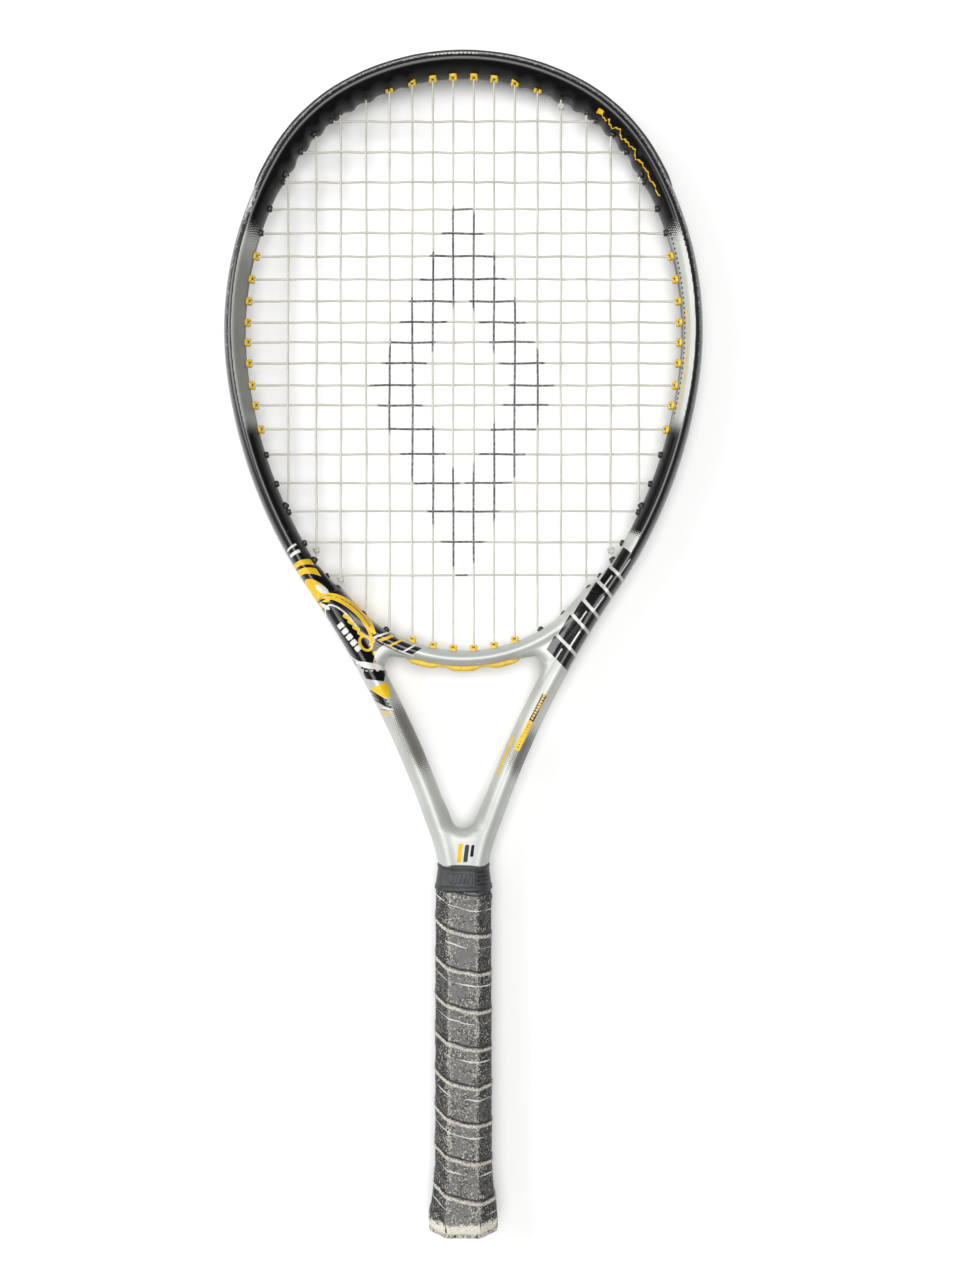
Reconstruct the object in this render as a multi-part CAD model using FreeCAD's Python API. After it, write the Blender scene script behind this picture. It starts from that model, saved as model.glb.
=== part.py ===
"""Tennis racket with an oversize head: tube frame, bridge, grommets, two strings and a wrapped handle.

The model is drawn in a working frame: X across, Y from the butt end (0) to the tip, Z the normal of
the string plane, which is at Z = 0. On export it is moved so that the origin is at the middle of the
bottom of its box. All sizes are in millimetres.
"""
import FreeCAD, Part
import math
import os

V = FreeCAD.Vector
Z_UP = V(0, 0, 1)

# ---- whole racket -------------------------------------------------------------------------------
LENGTH = 711.0            # 28 inch extended-length racket, butt end to bumper
BUTT_HALF_DEPTH = 18.4    # half the depth of the butt flare, the lowest part when the racket lies flat

# ---- head and throat tube -----------------------------------------------------------------------
BUMPER_STAND = 1.2        # how far the bumper stands out of the frame
TOP = LENGTH - BUMPER_STAND
# Outer outline of the right half, from the top centre: (radius, turn in degrees). Tangent arcs, the
# negative radii curve the other way. The turns add up to a half turn less the two throat arcs.
HEAD_ARCS = [(150.0, 28.0), (115.0, 31.1), (209.5, 38.3), (299.5, 26.9)]
THROAT_ARCS = [(-597.0, 15.0), (-124.0, 19.3)]
HEAD_BEAM = 12.4          # radial width of the head tube
THROAT_BEAM = 14.2        # radial width of the arms
HEAD_DEPTH = 26.0         # depth of the head tube, along Z
SHAFT_DEPTH = 24.0        # depth of the arms where they meet the shaft
WALL = 1.6                # composite wall of the tube
SHAFT_WALL = 2.6          # wall of the cavity's last section, above the handle
GROOVE_DEPTH = 3.0        # outer groove for the grommet strips
GROOVE_HALF = 3.0         # half the width of that groove
GROOVE_SHARE = 0.3        # share of the first throat arc that the groove runs on for
YOKE_RADIUS = 8.0         # rounded bottom of the throat opening
YOKE_LEVEL = 248.0        # height of that rounding's centre above the butt
YOKE_HALF_DEPTH = 11.0    # the filled crotch between the arms
YOKE_REACH = 6.0          # how far inside the arms' outer edges that crotch block runs
CAVITY_END = 6.0          # the arms' hollows end this far above the collar
# Loft stations of the arms: share of the upper throat arc and of the way from head to throat beam
UPPER_STATIONS = [(0.0, 0.0), (0.2, 0.45), (0.45, 0.9), (0.75, 1.0), (1.0, 1.0)]
LOWER_STATIONS = (0.5, 1.0)  # shares of the lower throat arc
OUTSIDE = 4.0             # cutters reach this far out of the frame's outer face
OPEN_END = 8.0            # and drills this far beyond each end of a hole

# ---- bridge -------------------------------------------------------------------------------------
BED_BOTTOM = 348.6        # inner edge of the bridge, on the centre line
BRIDGE_BEAM = 9.6
BRIDGE_DEPTH = 21.0
BRIDGE_BED_RADIUS = 92.0  # radius of the bridge's edge on the string side
BRIDGE_HALF_ANGLE = 50.0
GUSSET_HALF_DEPTH = 8.5   # flared ends of the bridge
GUSSET_TOP = 399.0        # where the flare's bed edge meets the arm
GUSSET_ANGLE = 46.0       # where it leaves the bridge's arc
GUSSET_STAND = 0.8        # how far it stands into the string bed there
GUSSET_REACH = 5.0        # the flare runs on inside the arm, to this far from its outer edge
GUSSET_LEVELS = (386.0, 330.0)   # heights of its hidden corners inside the arm
GUSSET_LAP = 8.0          # degrees of the bridge's arc that it overlaps
CROTCH_LEVEL = 335.5      # where the bridge's throat edge would meet the arm
CROTCH_END = 334.5        # the fillet between them: where it leaves the arm,
CROTCH_BACK = 9.0         # how far back along the bridge it starts,
CROTCH_RISE = 0.6         # a little inside the bridge,
CROTCH_MIDDLE = (2.3, 341.2)     # and its middle, as back and height

# ---- strings and grommets -----------------------------------------------------------------------
STRING_RADIUS = 0.65
STRING_LIFT = 0.72        # main strings lie this far above the string plane, cross strings below
MAIN_OFFSETS = [6.2, 18.5, 31.0, 44.8, 59.0, 74.4, 89.2, 106.3]   # each side of the centre line
TOP_CROSS = 669.5         # height of the first cross string
CROSS_GAPS = [18.7, 18.1, 16.4, 14.5, 14.0, 13.9, 13.3, 12.8, 12.1,
              12.7, 13.4, 12.1, 14.5, 15.2, 17.5, 17.0, 18.8, 20.0]
BARREL_RADIUS = 1.9       # grommet tube through the frame
BARREL_BORE = 1.1
HEAD_RADIUS = 2.4         # grommet head inside the string bed
HEAD_STAND = 2.6          # how far it stands into the string bed
STRIP_FLOOR = 0.8         # thickness of a grommet strip
STRIP_RIM_HALF = 2.2      # half the width of the string channel in a strip
LOOP_BEND_ABOVE = 360.0   # loops in the head's groove bend round with it, those below are straight
LOOP_CORNER = 1.2         # bend of a string at the outside of a grommet
GENTLE_CORNER = 8.0       # and its bend where it turns by less than the gentle turn, at a grommet's mouth
GENTLE_TURN = 0.35
LOOP_DEPTH = 1.35         # string's centre below the frame's outer face, in the groove
THROAT_LOOP = 0.4         # string's centre outside the bridge's throat edge, in its strip
BUMPER_ARCS = 2           # the bumper covers the outline's first two arcs
BUMPER_SHARE = 0.18       # and this share of the third
STRIP_GAP_SHARE = 0.004   # gap between the bumper and the side strips, as a share of that arc
STRIP_SINK = 0.2          # a strip's edges lie this far below the frame's outer face
STRIP_END_RISE = 2.0      # the side strips' last grommets lie above their end by at least this much
BUMPER_HALF = 9.5         # half the width of the bumper
BUMPER_BACK = 12.0        # half width of the block that trims its inside
YELLOW_TOP = 4            # main strings each side with a yellow grommet at the top
YELLOW_SIDE = range(5, 14)   # cross strings with yellow grommets
BRIDGE_MAINS = 3          # main strings each side that pass through the bridge
SHOULDER_LEAN = {3: 52.0, 4: 46.0, 5: 42.0}   # lean in degrees of the lower holes beside the bridge
KNOT_CLEAR = 3.4          # from a grommet's mouth to the middle of its knot
TAIL_STAY = 4.0           # a string's end stops this far short of its tie-off hole
KNOT_MAINS = (4, 5, 6)    # mains with a knot: cross start at the top, cross end and main ends at the bottom
KNOT_PITCH = 0.55         # half the spacing of a knot's two turns
KNOT_SLACK = 0.2          # gap between a knot and the string it is tied round
KNOT_TAIL = 3.4           # length of its cut end
THROAT_GROOVE = 1.6       # depth of the bridge's groove on the throat side
THROAT_HALF = 4.0         # half the width of that groove
THROAT_GROOVE_ANGLE = 24.0
THROAT_STRIP_ANGLE = 23.5
THROAT_STAND = 1.3        # how far the throat strip stands out of the bridge
LUMP_STAND = 2.9          # and how far at its string loops
LUMP_ANGLE = 4.6          # half the angle of each thick stretch
LUMP_OFFSETS = (-24.7, 0.0, 24.7)
THROAT_CHANNEL = 0.65     # the string channel's depth into the bridge's edge
THROAT_CHANNEL_HALF = 1.6
FIT = 0.08                # working gap between a plastic strip or grommet and the frame

# ---- handle -------------------------------------------------------------------------------------
COLLAR_TOP = 220.3
COLLAR_BOTTOM = 205.0
GRIP_TOP = 204.7
CORE_HALF = (13.2, 10.0)  # half width and half depth of the two shafts, side by side
CORE_CORNER = 7.0
CORE_END = 10.0           # where the shafts end, above the butt
CAVITY_HALF = (5.4, 8.4)
CAVITY_X = 6.2            # centre of each shaft's cavity
CAVITY_CORNER = 4.5
CAP_TOP = 22.0            # the butt cap ends and the pallets begin
GRIP_LOW = 2.4            # the wraps end this far above the butt end
# Outer face of the finished handle: (height, half width, half depth)
HANDLE = [(0.6, 20.2, 17.5), (4.5, 21.3, BUTT_HALF_DEPTH), (11.0, 20.7, 17.9), (24.0, 18.7, 16.4),
          (38.0, 17.6, 15.6), (GRIP_TOP, 17.2, 15.2)]
OVERGRIP_THICK = 0.8
BASE_GRIP_THICK = 1.55
LAYER_GAP = 0.05
BASE_INSET = OVERGRIP_THICK + LAYER_GAP
CAP_INSET = BASE_INSET + BASE_GRIP_THICK + LAYER_GAP
OVERGRIP_START = 0.1      # gap between the cap's lip and the overgrip
BASE_START = 0.3          # and the base grip
CORE_GAP = 0.03           # gap between the shafts and the foam around them
CORE_END_GAP = 0.3
PALLET_END_GAP = 0.1      # the pallets stop this far short of the grip's top
HALF_SPACE = (100.0, 400.0, 50.0)   # block that splits the pallets into front and back
TAPE_GAPS = (0.05, 0.3)   # inside and outside of the finishing tape, from the shafts
TAPE_SPAN = (0.5, 7.0)    # heights of its ends above the collar's lower end
FACET_X = 0.51            # share of the half width that the front facet takes
FACET_Z = 0.39            # share of the half depth that the side facet takes
DOOR_HALF = (12.0, 9.5)   # snap-in end plate
DOOR_THICK = 1.8
DOOR_GAP = 0.3
DOOR_CORNER = 2.5
FINGER = (1.2, 6.0, 7.0)  # snap finger behind the plate: thickness, length, width
FINGER_SINK = 0.5         # how far a finger runs into the plate
WINDOW_HALF = (9.5, 7.0)  # opening behind the plate
STAPLE_WIDTH = 1.2
STAPLE_THICK = 0.5
CAP_STAPLE_X = 5.5        # offset of the cap's staples from the centre line
CAP_STAPLE = (8.0, 2.6)   # crown length and leg length
GRIP_STAPLE = (9.0, 4.6)
GRIP_STAPLE_LEVEL = 7.0
STAPLE_SEAT = 5.0         # a cap staple's depth is taken this far above the cap's top,
GRIP_SEAT = 3.0           # and the grip staple's this far above its own level

# ---- collar -------------------------------------------------------------------------------------
# Stations from its lower end: (height, half width, half depth)
COLLAR_STATIONS = [(0.0, 17.3, 15.3), (2.2, 17.3, 15.3), (2.6, 16.7, 14.8), (12.8, 15.4, 12.7),
                   (13.2, 15.7, 12.9), (15.2, 15.6, 12.8)]
COLLAR_ROUND = 0.7        # corner radius as a share of the half depth
COLLAR_BORE = 0.5         # gap between the collar and the shafts
RIB_COUNT = 4             # grooves beside the front panel
RIB_START = 4.0           # height of the first one above the collar's lower end
RIB_PITCH = 2.6
RIB_CUT = (8.0, 0.9, 6.0)    # block that cuts each: along X, along Y, along Z
RIB_CORNER = (8.0, 11.2)  # that block's lowest X and Z


# ---- outline ------------------------------------------------------------------------------------
class Arc:
    """One arc of the outer outline: it starts at (x, y) with a heading in radians."""

    def __init__(self, x, y, heading, radius, turn_deg):
        self.radius = radius
        self.turn = math.radians(turn_deg)
        self.heading = heading
        self.cx = x + radius * math.sin(heading)
        self.cy = y - radius * math.cos(heading)

    def at(self, share, inset=0.0):
        """Point on the outline at a share of the arc, moved inwards by the inset, and its heading."""
        heading = self.heading - share * math.copysign(self.turn, self.radius)
        reach = self.radius - inset
        return (self.cx - reach * math.sin(heading), self.cy + reach * math.cos(heading), heading)

    def part(self, first, last):
        """The stretch of the arc between two shares."""
        return Arc(*self.at(first), self.radius, math.degrees(self.turn) * (last - first))


def outline(arcs):
    """The chain of tangent arcs from the top centre down the right side."""
    chain = []
    x, y, heading = 0.0, TOP, 0.0
    for radius, turn in arcs:
        arc = Arc(x, y, heading, radius, turn)
        chain.append(arc)
        x, y, heading = arc.at(1.0)
    return chain


OUTLINE = outline(HEAD_ARCS + THROAT_ARCS)
HEAD = OUTLINE[:len(HEAD_ARCS)]
THROAT = OUTLINE[len(HEAD_ARCS):]
GROOVED = HEAD + [THROAT[0].part(0.0, GROOVE_SHARE)]
SPLIT_ARC = HEAD[BUMPER_ARCS]
BUMPERED = HEAD[:BUMPER_ARCS] + [SPLIT_ARC.part(0.0, BUMPER_SHARE)]
STRIPPED = [SPLIT_ARC.part(BUMPER_SHARE + STRIP_GAP_SHARE, 1.0)] + HEAD[BUMPER_ARCS + 1:]
BRIDGE_CENTRE_Y = BED_BOTTOM + BRIDGE_BED_RADIUS


def crossing(inset, x=None, y=None, lower=False):
    """Where the right-hand outline, inset by a distance, meets a vertical or a horizontal line."""
    hits = []
    steps = 1000
    axis, level = (0, x) if y is None else (1, y)
    for arc in OUTLINE:
        last = arc.at(0.0, inset)
        for step in range(1, steps + 1):
            here = arc.at(step / steps, inset)
            if (last[axis] - level) * (here[axis] - level) <= 0:
                hits.append(here)
            last = here
    return hits[-1] if lower else hits[0]


def normal(heading):
    """Outward normal of the outline for a heading."""
    return V(-math.sin(heading), math.cos(heading), 0)


# ---- section shapes -----------------------------------------------------------------------------
def placed(shape, x, y, heading):
    """Turn a section drawn with X outwards and Y up, at the outline's point, into its place."""
    turned = shape.copy()
    out = normal(heading)
    along = V(math.cos(heading), math.sin(heading), 0)
    matrix = FreeCAD.Matrix(out.x, Z_UP.x, along.x, x,
                            out.y, Z_UP.y, along.y, y,
                            out.z, Z_UP.z, along.z, 0.0,
                            0.0, 0.0, 0.0, 1.0)
    turned.Placement = FreeCAD.Placement(matrix)
    return turned


def oval(width, depth, grow=0.0):
    """Oval section with its outer edge at X = grow, width along X and depth along Y."""
    half_x = width / 2 + grow
    half_y = depth / 2 + grow
    if half_y > half_x:
        curve = Part.Ellipse(V(-width / 2, half_y, 0), V(-width / 2 - half_x, 0, 0), V(-width / 2, 0, 0))
    else:
        curve = Part.Ellipse(V(-width / 2 + half_x, 0, 0), V(-width / 2, half_y, 0), V(-width / 2, 0, 0))
    return Part.Wire([curve.toShape()])


def rectangle(x0, x1, half_y):
    """Rectangular section from x0 to x1, centred on Y = 0."""
    return Part.makePolygon([V(x0, -half_y, 0), V(x1, -half_y, 0), V(x1, half_y, 0),
                             V(x0, half_y, 0), V(x0, -half_y, 0)])


def face(*wires):
    """Planar face with optional holes."""
    result = Part.Face(wires[0])
    for wire in wires[1:]:
        result = result.cut(Part.Face(wire))
    return result


def revolve_arc(arc, section):
    """Solid swept by a section along one arc of the outline."""
    x, y, heading = arc.at(0.0)
    start = placed(section, x, y, heading)
    angle = -math.degrees(arc.turn) * math.copysign(1.0, arc.radius)
    return start.revolve(V(arc.cx, arc.cy, 0), Z_UP, angle)


def mirrored(shape):
    """The shape and its mirror image across the centre line."""
    return shape.mirror(V(0, 0, 0), V(1, 0, 0))


def fuse(shapes):
    """One solid from overlapping or touching shapes."""
    shapes = list(shapes)
    result = shapes[0].multiFuse(shapes[1:]) if len(shapes) > 1 else shapes[0]
    return result


def solid_of(shape):
    """The solids of a shape without any wrapper."""
    solids = shape.Solids
    return solids[0] if len(solids) == 1 else Part.makeCompound(solids)


def along(arcs, section):
    """A constant section swept along some of the outline's arcs, on both sides."""
    right = [revolve_arc(arc, section) for arc in arcs]
    return right + [mirrored(piece) for piece in right]


# ---- frame --------------------------------------------------------------------------------------
def throat_stations():
    """Points along the arms for the lofts: (x, y, heading, beam, depth, wall)."""
    stations = []
    upper, lower = THROAT
    for share, grown in UPPER_STATIONS:
        beam = HEAD_BEAM + (THROAT_BEAM - HEAD_BEAM) * grown
        depth = HEAD_DEPTH + (SHAFT_DEPTH - HEAD_DEPTH) * share
        stations.append(upper.at(share) + (beam, depth, WALL))
    for share in LOWER_STATIONS:
        wall = WALL + (SHAFT_WALL - WALL) * share
        stations.append(lower.at(share) + (THROAT_BEAM, SHAFT_DEPTH, wall))
    return stations


def arm(hollow):
    """The right arm, from the head to below the collar, or its cavity."""
    wires = []
    for x, y, heading, beam, depth, wall in throat_stations():
        wires.append(placed(oval(beam, depth, -wall if hollow else 0.0), x, y, heading))
    return Part.makeLoft(wires, True, False)


def round_rect(half_x, half_z, corner, y):
    """Rounded rectangle in a plane of constant Y."""
    points = []
    for sx, sz, start in [(1, 1, 0), (-1, 1, 90), (-1, -1, 180), (1, -1, 270)]:
        cx = sx * (half_x - corner)
        cz = sz * (half_z - corner)
        angles = [math.radians(start + turn) for turn in (0, 45, 90)]
        points.append([V(cx + corner * math.cos(a), y, cz + corner * math.sin(a)) for a in angles])
    edges = []
    for i, (first, middle, last) in enumerate(points):
        edges.append(Part.Arc(first, middle, last).toShape())
        edges.append(Part.LineSegment(last, points[(i + 1) % 4][0]).toShape())
    return Part.Wire(edges)


def core_prism(grow, low, high):
    """The two shafts' outer shape between two heights."""
    wire = round_rect(CORE_HALF[0] + grow, CORE_HALF[1] + grow, CORE_CORNER + grow, low)
    return Part.Face(wire).extrude(V(0, high - low, 0))


def shaft_cavities(low, high):
    """The hollows of the two shafts in the handle."""
    hollows = []
    for side in (-1, 1):
        wire = round_rect(CAVITY_HALF[0], CAVITY_HALF[1], CAVITY_CORNER, low)
        wire.translate(V(side * CAVITY_X, 0, 0))
        hollows.append(Part.Face(wire).extrude(V(0, high - low, 0)))
    return hollows


def yoke():
    """The filled crotch between the arms, with the rounded bottom of the throat opening."""
    edge_low = crossing(YOKE_REACH, y=COLLAR_TOP, lower=True)[0]
    edge_high = crossing(YOKE_REACH, y=YOKE_LEVEL, lower=True)[0]
    corners = [V(-edge_low, COLLAR_TOP, -YOKE_HALF_DEPTH), V(edge_low, COLLAR_TOP, -YOKE_HALF_DEPTH),
               V(edge_high, YOKE_LEVEL, -YOKE_HALF_DEPTH), V(-edge_high, YOKE_LEVEL, -YOKE_HALF_DEPTH)]
    block = Part.Face(Part.makePolygon(corners + corners[:1])).extrude(V(0, 0, 2 * YOKE_HALF_DEPTH))
    scoop = Part.makeCylinder(YOKE_RADIUS, 2 * SHAFT_DEPTH, V(0, YOKE_LEVEL, -SHAFT_DEPTH), Z_UP)
    return block.cut(scoop)


def slab(low, high):
    """A wide block between two heights, for trimming."""
    return Part.makeBox(LENGTH, high - low, LENGTH, V(-LENGTH / 2, low, -LENGTH / 2))


def frame_outer():
    """Outer shape of the frame without holes or hollows."""
    arms = [arm(False), mirrored(arm(False))]
    shell = fuse(along(HEAD, Part.Face(oval(HEAD_BEAM, HEAD_DEPTH))) + arms + [yoke()])
    shell = shell.common(slab(COLLAR_TOP, 2 * LENGTH))
    return shell.fuse(core_prism(0.0, CORE_END, COLLAR_TOP))


def frame_tube():
    """The whole tube, with its hollow, the outer groove and the grommet holes."""
    body = frame_outer()
    body = body.cut(fuse(along(GROOVED, Part.Face(rectangle(-GROOVE_DEPTH, OUTSIDE, GROOVE_HALF)))))
    hollow = face(oval(HEAD_BEAM, HEAD_DEPTH, -WALL),
                  rectangle(-GROOVE_DEPTH - WALL, OUTSIDE, GROOVE_HALF + WALL))
    cavity_end = COLLAR_TOP + CAVITY_END
    arm_cavity = arm(True).common(slab(cavity_end, LENGTH))
    cavities = along(HEAD, hollow) + [arm_cavity, mirrored(arm_cavity)]
    cavities += shaft_cavities(CORE_END - 1.0, cavity_end + 1.0)
    for cavity in cavities:
        body = body.cut(cavity)
    return drilled(body, ALL_HOLES, BARREL_RADIUS + FIT)


# ---- string pattern -----------------------------------------------------------------------------
class Hole:
    """One string hole: its mouth in the string bed, the frame's inner face, and the outer groove."""

    def __init__(self, mouth, inner, outer, lean, lift):
        self.mouth = V(mouth.x, mouth.y, lift)
        self.inner = V(inner.x, inner.y, lift)
        self.outer = V(outer.x, outer.y, lift)
        self.lean = lean
        self.lift = lift
        self.direction = (self.outer - self.mouth).normalize()

    def mirror(self):
        """The same hole on the other side of the racket."""
        flipped = [V(-point.x, point.y, 0) for point in (self.mouth, self.inner, self.outer)]
        return Hole(*flipped, self.lean, self.lift)


def reach_groove(start, direction, depth, shortest):
    """The point where a line from the bed reaches a depth below the frame's outer face."""
    low, high = shortest, 60.0
    for _ in range(40):
        middle = (low + high) / 2
        if depth_below(start + direction * middle) > depth:
            low = middle
        else:
            high = middle
    return start + direction * high


def depth_below(point):
    """How far a point on the right-hand side lies inside the outer outline."""
    best = None
    for arc in OUTLINE:
        away = V(point.x - arc.cx, point.y - arc.cy, 0)
        angle = math.atan2(away.y, away.x)
        for share in (0.0, 0.25, 0.5, 0.75, 1.0):
            x, y, heading = arc.at(share)
            spread = math.atan2(math.sin(angle - math.atan2(y - arc.cy, x - arc.cx)),
                                math.cos(angle - math.atan2(y - arc.cy, x - arc.cx)))
            if abs(spread) <= arc.turn / 8 + 1e-6:
                inside = abs(arc.radius) - away.Length
                inside = inside if arc.radius > 0 else -inside
                if best is None or abs(inside) < abs(best):
                    best = inside
    return best if best is not None else -1.0


def frame_hole(mouth, run, heading, lift, angle=None):
    """A hole that leans half-way between the string's run and the frame's normal, or at an angle."""
    out = normal(heading)
    if angle is None:
        direction = (run + out).normalize()
    else:
        direction = V(math.sin(math.radians(angle)), -math.cos(math.radians(angle)), 0)
    inner = reach_groove(mouth, direction, HEAD_BEAM, 0.5)
    outer = reach_groove(mouth, direction, LOOP_DEPTH, 2.0)
    return Hole(mouth, inner, outer, direction.getAngle(out), lift)


def bridge_point(angle_deg, radius):
    """Point on a circle about the bridge's centre, at an angle from straight down."""
    angle = math.radians(angle_deg)
    return V(radius * math.sin(angle), BRIDGE_CENTRE_Y - radius * math.cos(angle), 0)


GUSSET_LOW = bridge_point(GUSSET_ANGLE, BRIDGE_BED_RADIUS - GUSSET_STAND)
GUSSET_HIGH = V(*crossing(HEAD_BEAM, y=GUSSET_TOP)[:2], 0)
GUSSET_SLOPE = (GUSSET_HIGH.y - GUSSET_LOW.y) / (GUSSET_HIGH.x - GUSSET_LOW.x)


def bed_edge(x):
    """Height of the string bed's lower edge at an offset: the bridge's arc, then its flare."""
    if x > GUSSET_LOW.x:
        return GUSSET_LOW.y + (x - GUSSET_LOW.x) * GUSSET_SLOPE
    return BRIDGE_CENTRE_Y - math.sqrt(BRIDGE_BED_RADIUS ** 2 - x ** 2)


def bed_heading(x):
    """Heading of that lower edge, as on the outline: running inwards and down."""
    if x > GUSSET_LOW.x:
        return -math.pi + math.atan(GUSSET_SLOPE)
    return -math.pi + math.asin(x / BRIDGE_BED_RADIUS)


def seated(hole, run, out):
    """Put a hole's inner end on the bridge's flare, which its mouth stands off along the string."""
    hole.inner = hole.mouth + hole.direction * (HEAD_STAND * run.dot(out) / hole.direction.dot(out))
    return hole


def main_holes():
    """Top and bottom holes of the main strings on the right side."""
    tops, bottoms = [], []
    for index, x in enumerate(MAIN_OFFSETS):
        px, py, heading = crossing(HEAD_BEAM + HEAD_STAND, x=x)
        tops.append(frame_hole(V(px, py, 0), V(0, 1, 0), heading, STRING_LIFT))
        if index < BRIDGE_MAINS:
            start = bed_edge(x)
            mouth = V(x, start + HEAD_STAND, 0)
            outer = V(x, bridge_outer(x) - THROAT_LOOP, 0)
            lean = math.asin(x / BRIDGE_BED_RADIUS)
            bottoms.append(Hole(mouth, V(x, start, 0), outer, lean, STRING_LIFT))
        elif index in SHOULDER_LEAN:
            mouth = V(x, bed_edge(x) + HEAD_STAND, 0)
            hole = frame_hole(mouth, None, bed_heading(x), STRING_LIFT, SHOULDER_LEAN[index])
            bottoms.append(seated(hole, V(0, -1, 0), normal(bed_heading(x))))
        else:
            px, py, heading = crossing(HEAD_BEAM + HEAD_STAND, x=x, lower=True)
            bottoms.append(frame_hole(V(px, py, 0), V(0, -1, 0), heading, STRING_LIFT))
    return tops, bottoms


def cross_holes():
    """Right-hand holes of the cross strings, from the top down."""
    level = TOP_CROSS
    levels = [level]
    for gap in CROSS_GAPS:
        level -= gap
        levels.append(level)
    holes = []
    for y in levels:
        px, py, heading = crossing(HEAD_BEAM + HEAD_STAND, y=y)
        if y < GUSSET_HIGH.y:
            px = GUSSET_LOW.x + (y - GUSSET_LOW.y) / GUSSET_SLOPE - HEAD_STAND
        hole = frame_hole(V(px, py, 0), V(1, 0, 0), heading, -STRING_LIFT)
        if y < GUSSET_HIGH.y:
            seated(hole, V(1, 0, 0), normal(bed_heading(px + HEAD_STAND)))
        holes.append(hole)
    return holes


def bridge_outer(x):
    """Height of the bridge's throat-side edge at an offset."""
    radius = BRIDGE_BED_RADIUS + BRIDGE_BEAM
    return BRIDGE_CENTRE_Y - math.sqrt(radius ** 2 - x ** 2)


MAIN_TOP, MAIN_BOTTOM = main_holes()
CROSS = cross_holes()
BRIDGE_HOLES = MAIN_BOTTOM[:BRIDGE_MAINS]
FRAME_HOLES = MAIN_TOP + MAIN_BOTTOM[BRIDGE_MAINS:] + CROSS
ALL_HOLES = FRAME_HOLES + [hole.mirror() for hole in FRAME_HOLES]
YELLOW_TOP_HOLES = MAIN_TOP[:YELLOW_TOP] + [hole.mirror() for hole in MAIN_TOP[:YELLOW_TOP]]
YELLOW_RIGHT_HOLES = [CROSS[i] for i in YELLOW_SIDE]
YELLOW_LEFT_HOLES = [hole.mirror() for hole in YELLOW_RIGHT_HOLES]


def rod(hole, radius, before, after):
    """Cylinder along a hole, longer than it by a distance at each end."""
    start = hole.inner - hole.direction * before
    length = (hole.outer - hole.inner).Length + before + after
    return Part.makeCylinder(radius, length, start, hole.direction)


def drilled(body, holes, radius):
    """The body with a round hole along each string hole."""
    return body.cut(Part.makeCompound([rod(hole, radius, OPEN_END, OPEN_END) for hole in holes]))


def barrel(hole):
    """Grommet tube with its head inside the bed, running on past the outer groove's floor."""
    tube = rod(hole, BARREL_RADIUS, 0.5, 0.0)
    head_length = (hole.inner - hole.mouth).Length - HEAD_RADIUS * math.tan(hole.lean) - FIT
    head = Part.makeCylinder(HEAD_RADIUS, max(head_length, 1.0), hole.mouth, hole.direction)
    return drilled(tube.fuse(head), [hole], BARREL_BORE)


def channel_cutter():
    """The string channel of the outer groove, all the way round, with all that lies outside it."""
    section = Part.Face(rectangle(-GROOVE_DEPTH + FIT + STRIP_FLOOR, OUTSIDE, STRIP_RIM_HALF))
    return Part.makeCompound(along(GROOVED, section))


# ---- plastic strips -----------------------------------------------------------------------------
def in_groove(hole_list, solid):
    """A strip with its own barrels, which end flush with its floor."""
    result = fuse([solid] + [barrel(hole) for hole in hole_list])
    result = drilled(result, hole_list, BARREL_BORE)
    return largest(result.cut(channel_cutter()))


def strip_section():
    """Channel that lines the groove."""
    lining = rectangle(-GROOVE_DEPTH + FIT, -STRIP_SINK, GROOVE_HALF - FIT)
    channel = rectangle(-GROOVE_DEPTH + FIT + STRIP_FLOOR, OUTSIDE, STRIP_RIM_HALF)
    return face(lining, channel)


def bumper_section():
    """Guard over the outer face, with the same channel down its middle."""
    band = Part.Face(oval(HEAD_BEAM, HEAD_DEPTH, BUMPER_STAND))
    band = band.common(Part.Face(rectangle(-GROOVE_DEPTH, OUTSIDE, BUMPER_HALF)))
    inside = Part.Face(oval(HEAD_BEAM, HEAD_DEPTH, FIT))
    inside = inside.cut(Part.Face(rectangle(-GROOVE_DEPTH + FIT, OUTSIDE, GROOVE_HALF - FIT)))
    band = band.cut(inside)
    band = band.cut(Part.Face(rectangle(-GROOVE_DEPTH - 1.0, -GROOVE_DEPTH + FIT, BUMPER_BACK)))
    return band.cut(Part.Face(rectangle(-GROOVE_DEPTH + FIT + STRIP_FLOOR, OUTSIDE, STRIP_RIM_HALF)))


BUMPER_END = BUMPERED[-1].at(1.0)[1]
STRIP_END = HEAD[-1].at(1.0)[1] + STRIP_END_RISE


def is_yellow(hole):
    """Whether a right-hand hole has one of the yellow grommets."""
    return hole in YELLOW_RIGHT_HOLES or hole in MAIN_TOP[:YELLOW_TOP]


def black_holes(low, high):
    """Right-hand holes with black grommets whose outer ends lie between two heights."""
    return [hole for hole in FRAME_HOLES if low < hole.outer.y <= high and not is_yellow(hole)]


def bumper_guard():
    """Bumper over the top of the head with the black grommets of its stretch."""
    band = in_groove(both_sides(black_holes(BUMPER_END, LENGTH)), fuse(along(BUMPERED, bumper_section())))
    return drilled(band, YELLOW_TOP_HOLES, BARREL_RADIUS + FIT)


def side_strip():
    """Right-hand grommet strip, from the bumper down to the shoulder."""
    section = strip_section()
    strip = fuse(revolve_arc(arc, section) for arc in STRIPPED)
    strip = in_groove(black_holes(STRIP_END, BUMPER_END), strip)
    return drilled(strip, YELLOW_RIGHT_HOLES, BARREL_RADIUS + FIT)


def shoulder_grommets():
    """Loose black grommets in the lower holes that the strips don't reach."""
    return loose_grommets(both_sides(black_holes(0.0, STRIP_END)))


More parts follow.
